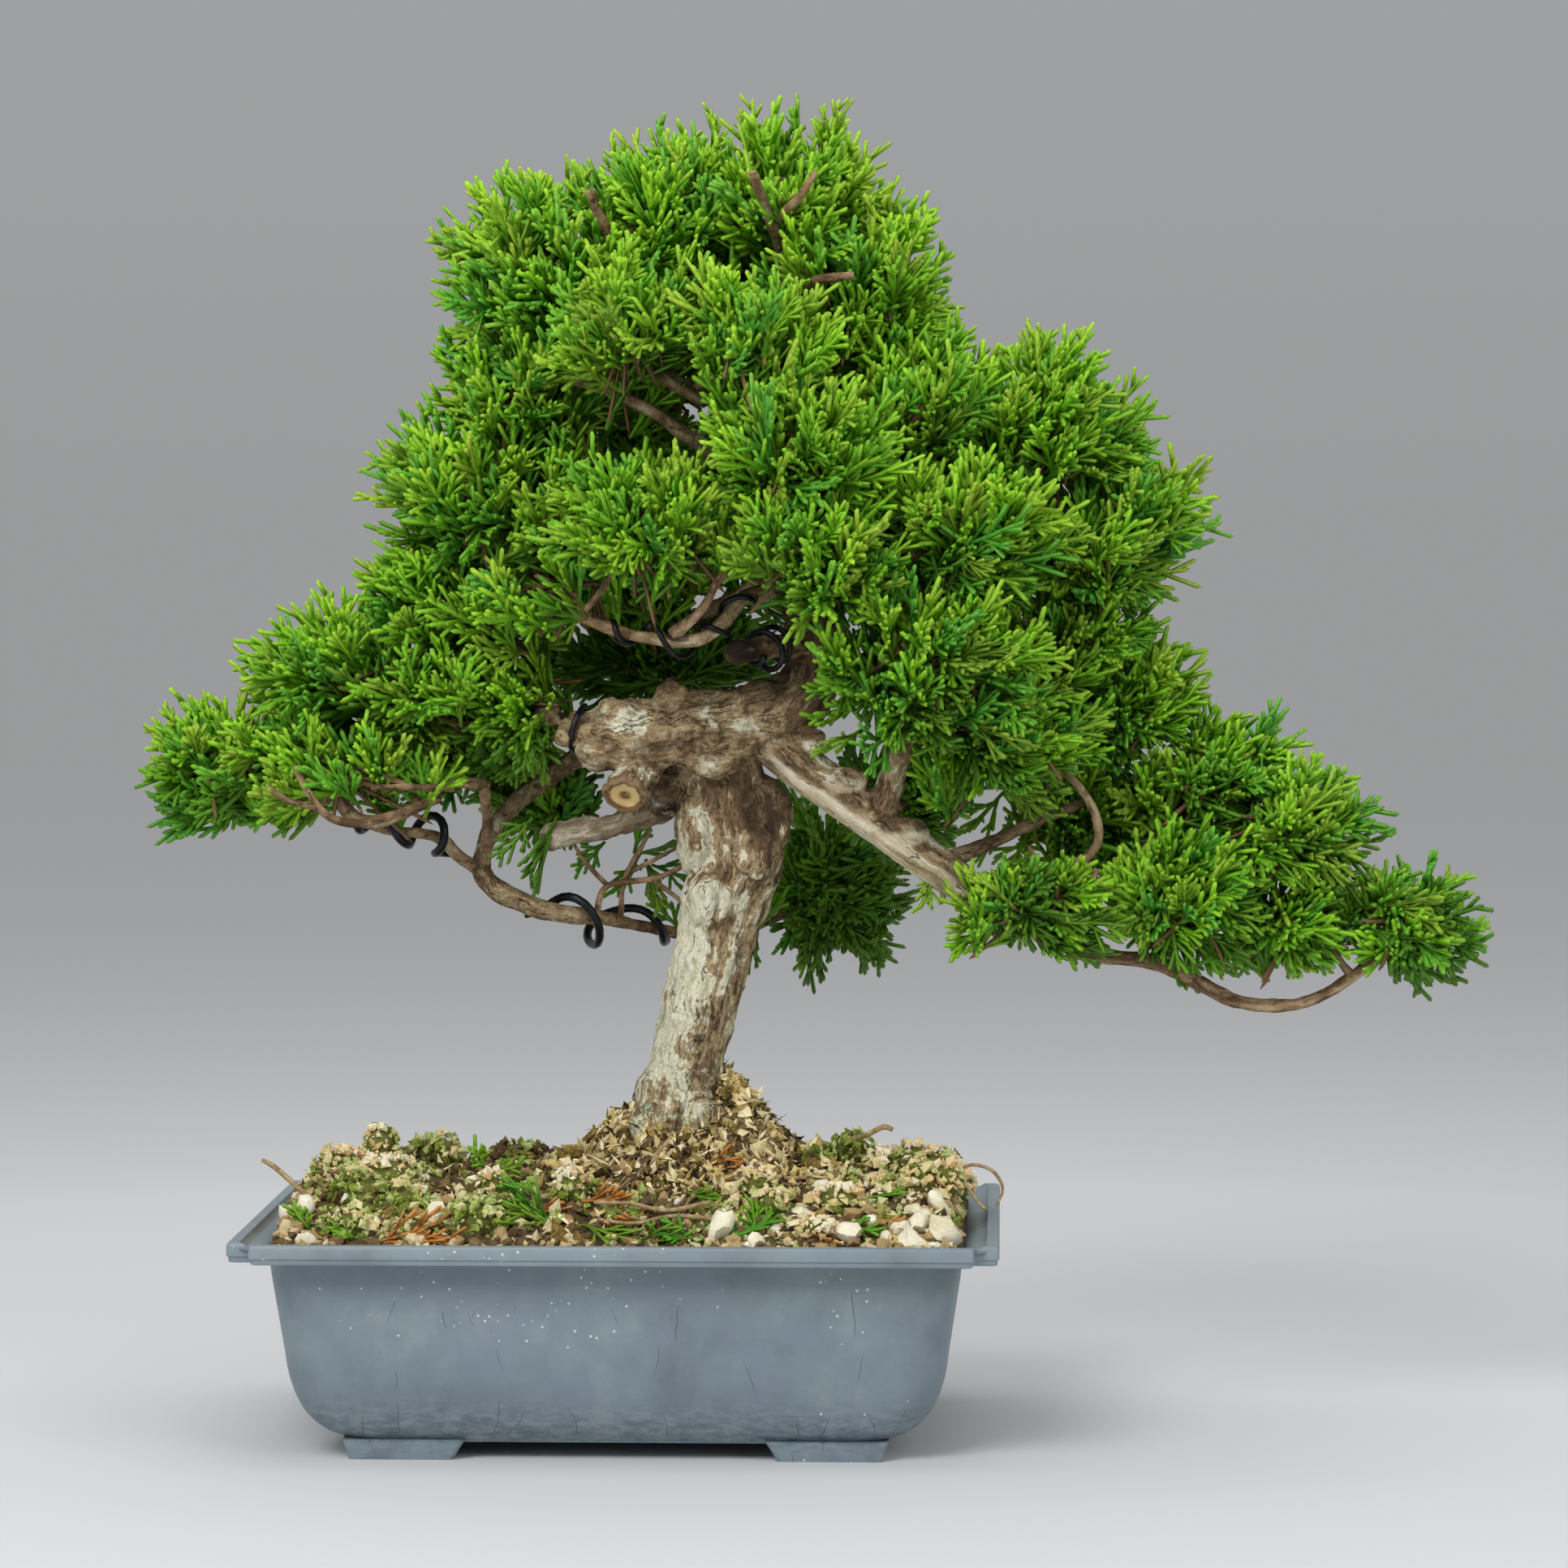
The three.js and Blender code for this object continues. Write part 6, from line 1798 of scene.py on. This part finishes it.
# %% Living scale leaves
def scale_leaf_material(name, stops, shades):
    """Colours from old to new growth, and the shades of an olive, a cool and a dull, shaded shoot; the
    last is painted shade.
    """
    material, add = new_material(name)
    mark = {
        key: add("Attribute", attribute_name=key).outputs["Fac"]
        for key in ("tip", "fresh", "wood", "tint")
    }
    place = add("TexCoord").outputs["Object"]
    # Patches of colour are 30 mm across, 34 to the metre, and scales 1.2 mm, 850 to the metre.
    patches = add("TexNoise", {"Vector": place, "Scale": 34.0, "Detail": 3.0})
    scales = add("TexVoronoi", {"Vector": place, "Scale": 850.0})
    # The fresh-and-lit mark moves a spray up towards lime: partly new growth, partly painted light.
    age = add("Math", {0: mark["fresh"], 1: 0.42}, operation="MULTIPLY")
    age = add("Math", {0: mark["tip"], 1: 0.5, 2: age}, operation="MULTIPLY_ADD")
    mottle = add("Math", {0: patches, 1: 0.5}, operation="SUBTRACT")
    age = add("Math", {0: mottle, 1: 0.45, 2: age}, operation="MULTIPLY_ADD")
    green = add("ValToRGB", {"Fac": age}, stops=stops)
    # No two shoots are the same green: some are olive, others a cooler green.
    olive = add("MapRange", {0: mark["tint"], "From Min": 0.5, "From Max": 1.0, "To Max": 0.55})
    cool = add("MapRange", {0: mark["tint"], "From Min": 0.35, "From Max": 0.0, "To Max": 0.65})
    # Painted shade: sprays low in the fresh-and-lit mark are mixed towards a dull dark green.
    dull_and_shaded = add("MapRange", {0: mark["fresh"], "From Min": 0.5, "From Max": 0.05})
    for mask, shade in zip((olive, cool, dull_and_shaded), shades):
        green = add("Mix", {0: mask, 6: green, 7: shade}, data_type="RGBA")
    ripple = add("MapRange", {0: scales, "From Max": 0.7, "To Min": 0.72, "To Max": 1.12})
    green = add("Mix", {0: 1.0, 6: green, 7: ripple}, data_type="RGBA", blend_type="MULTIPLY")
    twig = add("ValToRGB", {"Fac": patches}, stops=[(0.3, "#5E4330"), (0.7, "#97714F")])
    colour = add("Mix", {0: mark["wood"], 6: green, 7: twig}, data_type="RGBA")
    bump = add("Bump", {"Height": scales, "Strength": 0.5, "Distance": 0.0003})
    shader = add("BsdfPrincipled", {"Base Color": colour, "Roughness": 0.55, "IOR": 1.45, "Normal": bump})
    shader.inputs["Specular IOR Level"].default_value = 0.35
    add("OutputMaterial", {"Surface": shader})
    return material


scale_leaf = scale_leaf_material(
    "juniper_scale_leaf",
    [(0.08, "#537E15"), (0.3, "#629B19"), (0.5, "#73B11B"), (0.7, "#8AC622"), (0.88, "#A9DA34")],
    ["#9EAA3E", "#34963C", "#4E7D18"],
)
dead_leaf = scale_leaf_material(
    "dead_scale_leaf",
    [(0.1, "#B87432"), (0.5, "#DC9446"), (0.9, "#F0BC74")],
    ["#E0AC68", "#C07C3A", "#B07838"],
)
for number, name in enumerate(PADS):
    piece(f"sprays_{name}", brush(number), scale_leaf, replaces=[f"foliage_{name}"])
piece("fallen_green_sprigs", fallen_sprigs(GREEN_SPRIGS, 31, 0.78), scale_leaf, replaces=["soil"])
piece("fallen_dead_sprigs", fallen_sprigs(DEAD_SPRIGS, 32, 0.72), dead_leaf, replaces=["soil"])

# Shoots that grow out between the brushes: root, tip and fresh-and-lit mark, low for shoots in shade and
# high for those at the top, as painted light and shade.
LOOSE_SHOOTS = rows_of("""
    -24 -4 206 -35 -10 186 0.12, -26 -6 200 -30 -10 180 0.1, -32 -6 206 -44 -10 192 0.12,
    2 28 192 -8 24 178 0.3, 4 28 190 9 24 172 0.3, 2 28 192 16 24 196 0.3, 0 28 192 3 22 206 0.3,
    6 28 188 22 24 182 0.3, -10 28 196 -20 24 186 0.3, 80 -24 246 61 -26 240 0.45,
    82 -26 238 64 -28 229 0.45, 78 -24 252 60 -24 249 0.5, 126 10 214 112 4 200 0.45,
    130 8 206 117 2 191 0.5, 122 12 220 107 8 210 0.4, 134 10 200 127 4 187 0.5, 60 70 200 48 58 217 0.3,
    64 70 190 54 60 210 0.3, 60 92 172 47 86 155 0.35, 56 90 180 43 84 168 0.35, 64 92 164 54 86 147 0.4,
    44 -4 425 42 -6 446 0.9, 58 0 428 57 -2 446 0.9, 66 -4 424 71 -6 446 0.9, 32 -4 424 27 -4 443 0.85,
    16 0 420 11 0 440 0.85, 0 0 415 -6 0 434 0.85, -48 -4 392 -67 -6 400 0.8, -46 -4 376 -65 -6 381 0.7,
    16 52 163 4 60 174 0.3, 24 64 161 34 58 176 0.3, 30 72 161 18 84 170 0.35, 36 80 162 50 72 174 0.35,
    44 88 164 38 104 174 0.4, 50 92 167 44 96 189 0.4, 40 84 162 36 88 146 0.3, 60 90 192 44 78 208 0.35,
    66 86 204 54 70 222 0.35, 78 84 200 88 66 218 0.35, 84 92 190 100 84 206 0.4,
    -46 -4 360 -64 -6 362 0.6, 100 -8 196 112 -16 184 0.6, 104 -10 190 98 -18 176 0.55
""")
roots, tips, lit_freshness = LOOSE_SHOOTS[:, :3], LOOSE_SHOOTS[:, 3:6], LOOSE_SHOOTS[:, 6]
rng = default_rng(33)
loose = [sprays(roots, tips, lit_freshness, rng, girth=0.85)]
# Short shoots deep in the crown, which keep the light from falling through it, drawn dull and dark as
# painted shade.
CROWN_MIDDLE = np.array([42, 22, 348])
CROWN_HALF = [34, 22, 46]
inside = even_directions(70, rng)
start = CROWN_MIDDLE + inside * CROWN_HALF
end = start + 22 * unit(inside + [0, 0, 0.4])
loose.append(sprays(start, end, np.full(len(start), 0.1), rng, side_cords=5, forked=0))
piece("sprays_between", joined(loose), scale_leaf)
foliage_triangles = sum(n for name, n in triangles_made.items() if name.startswith("sprays_"))
print("foliage triangles:", foliage_triangles, "of", sum(triangles_made.values()))
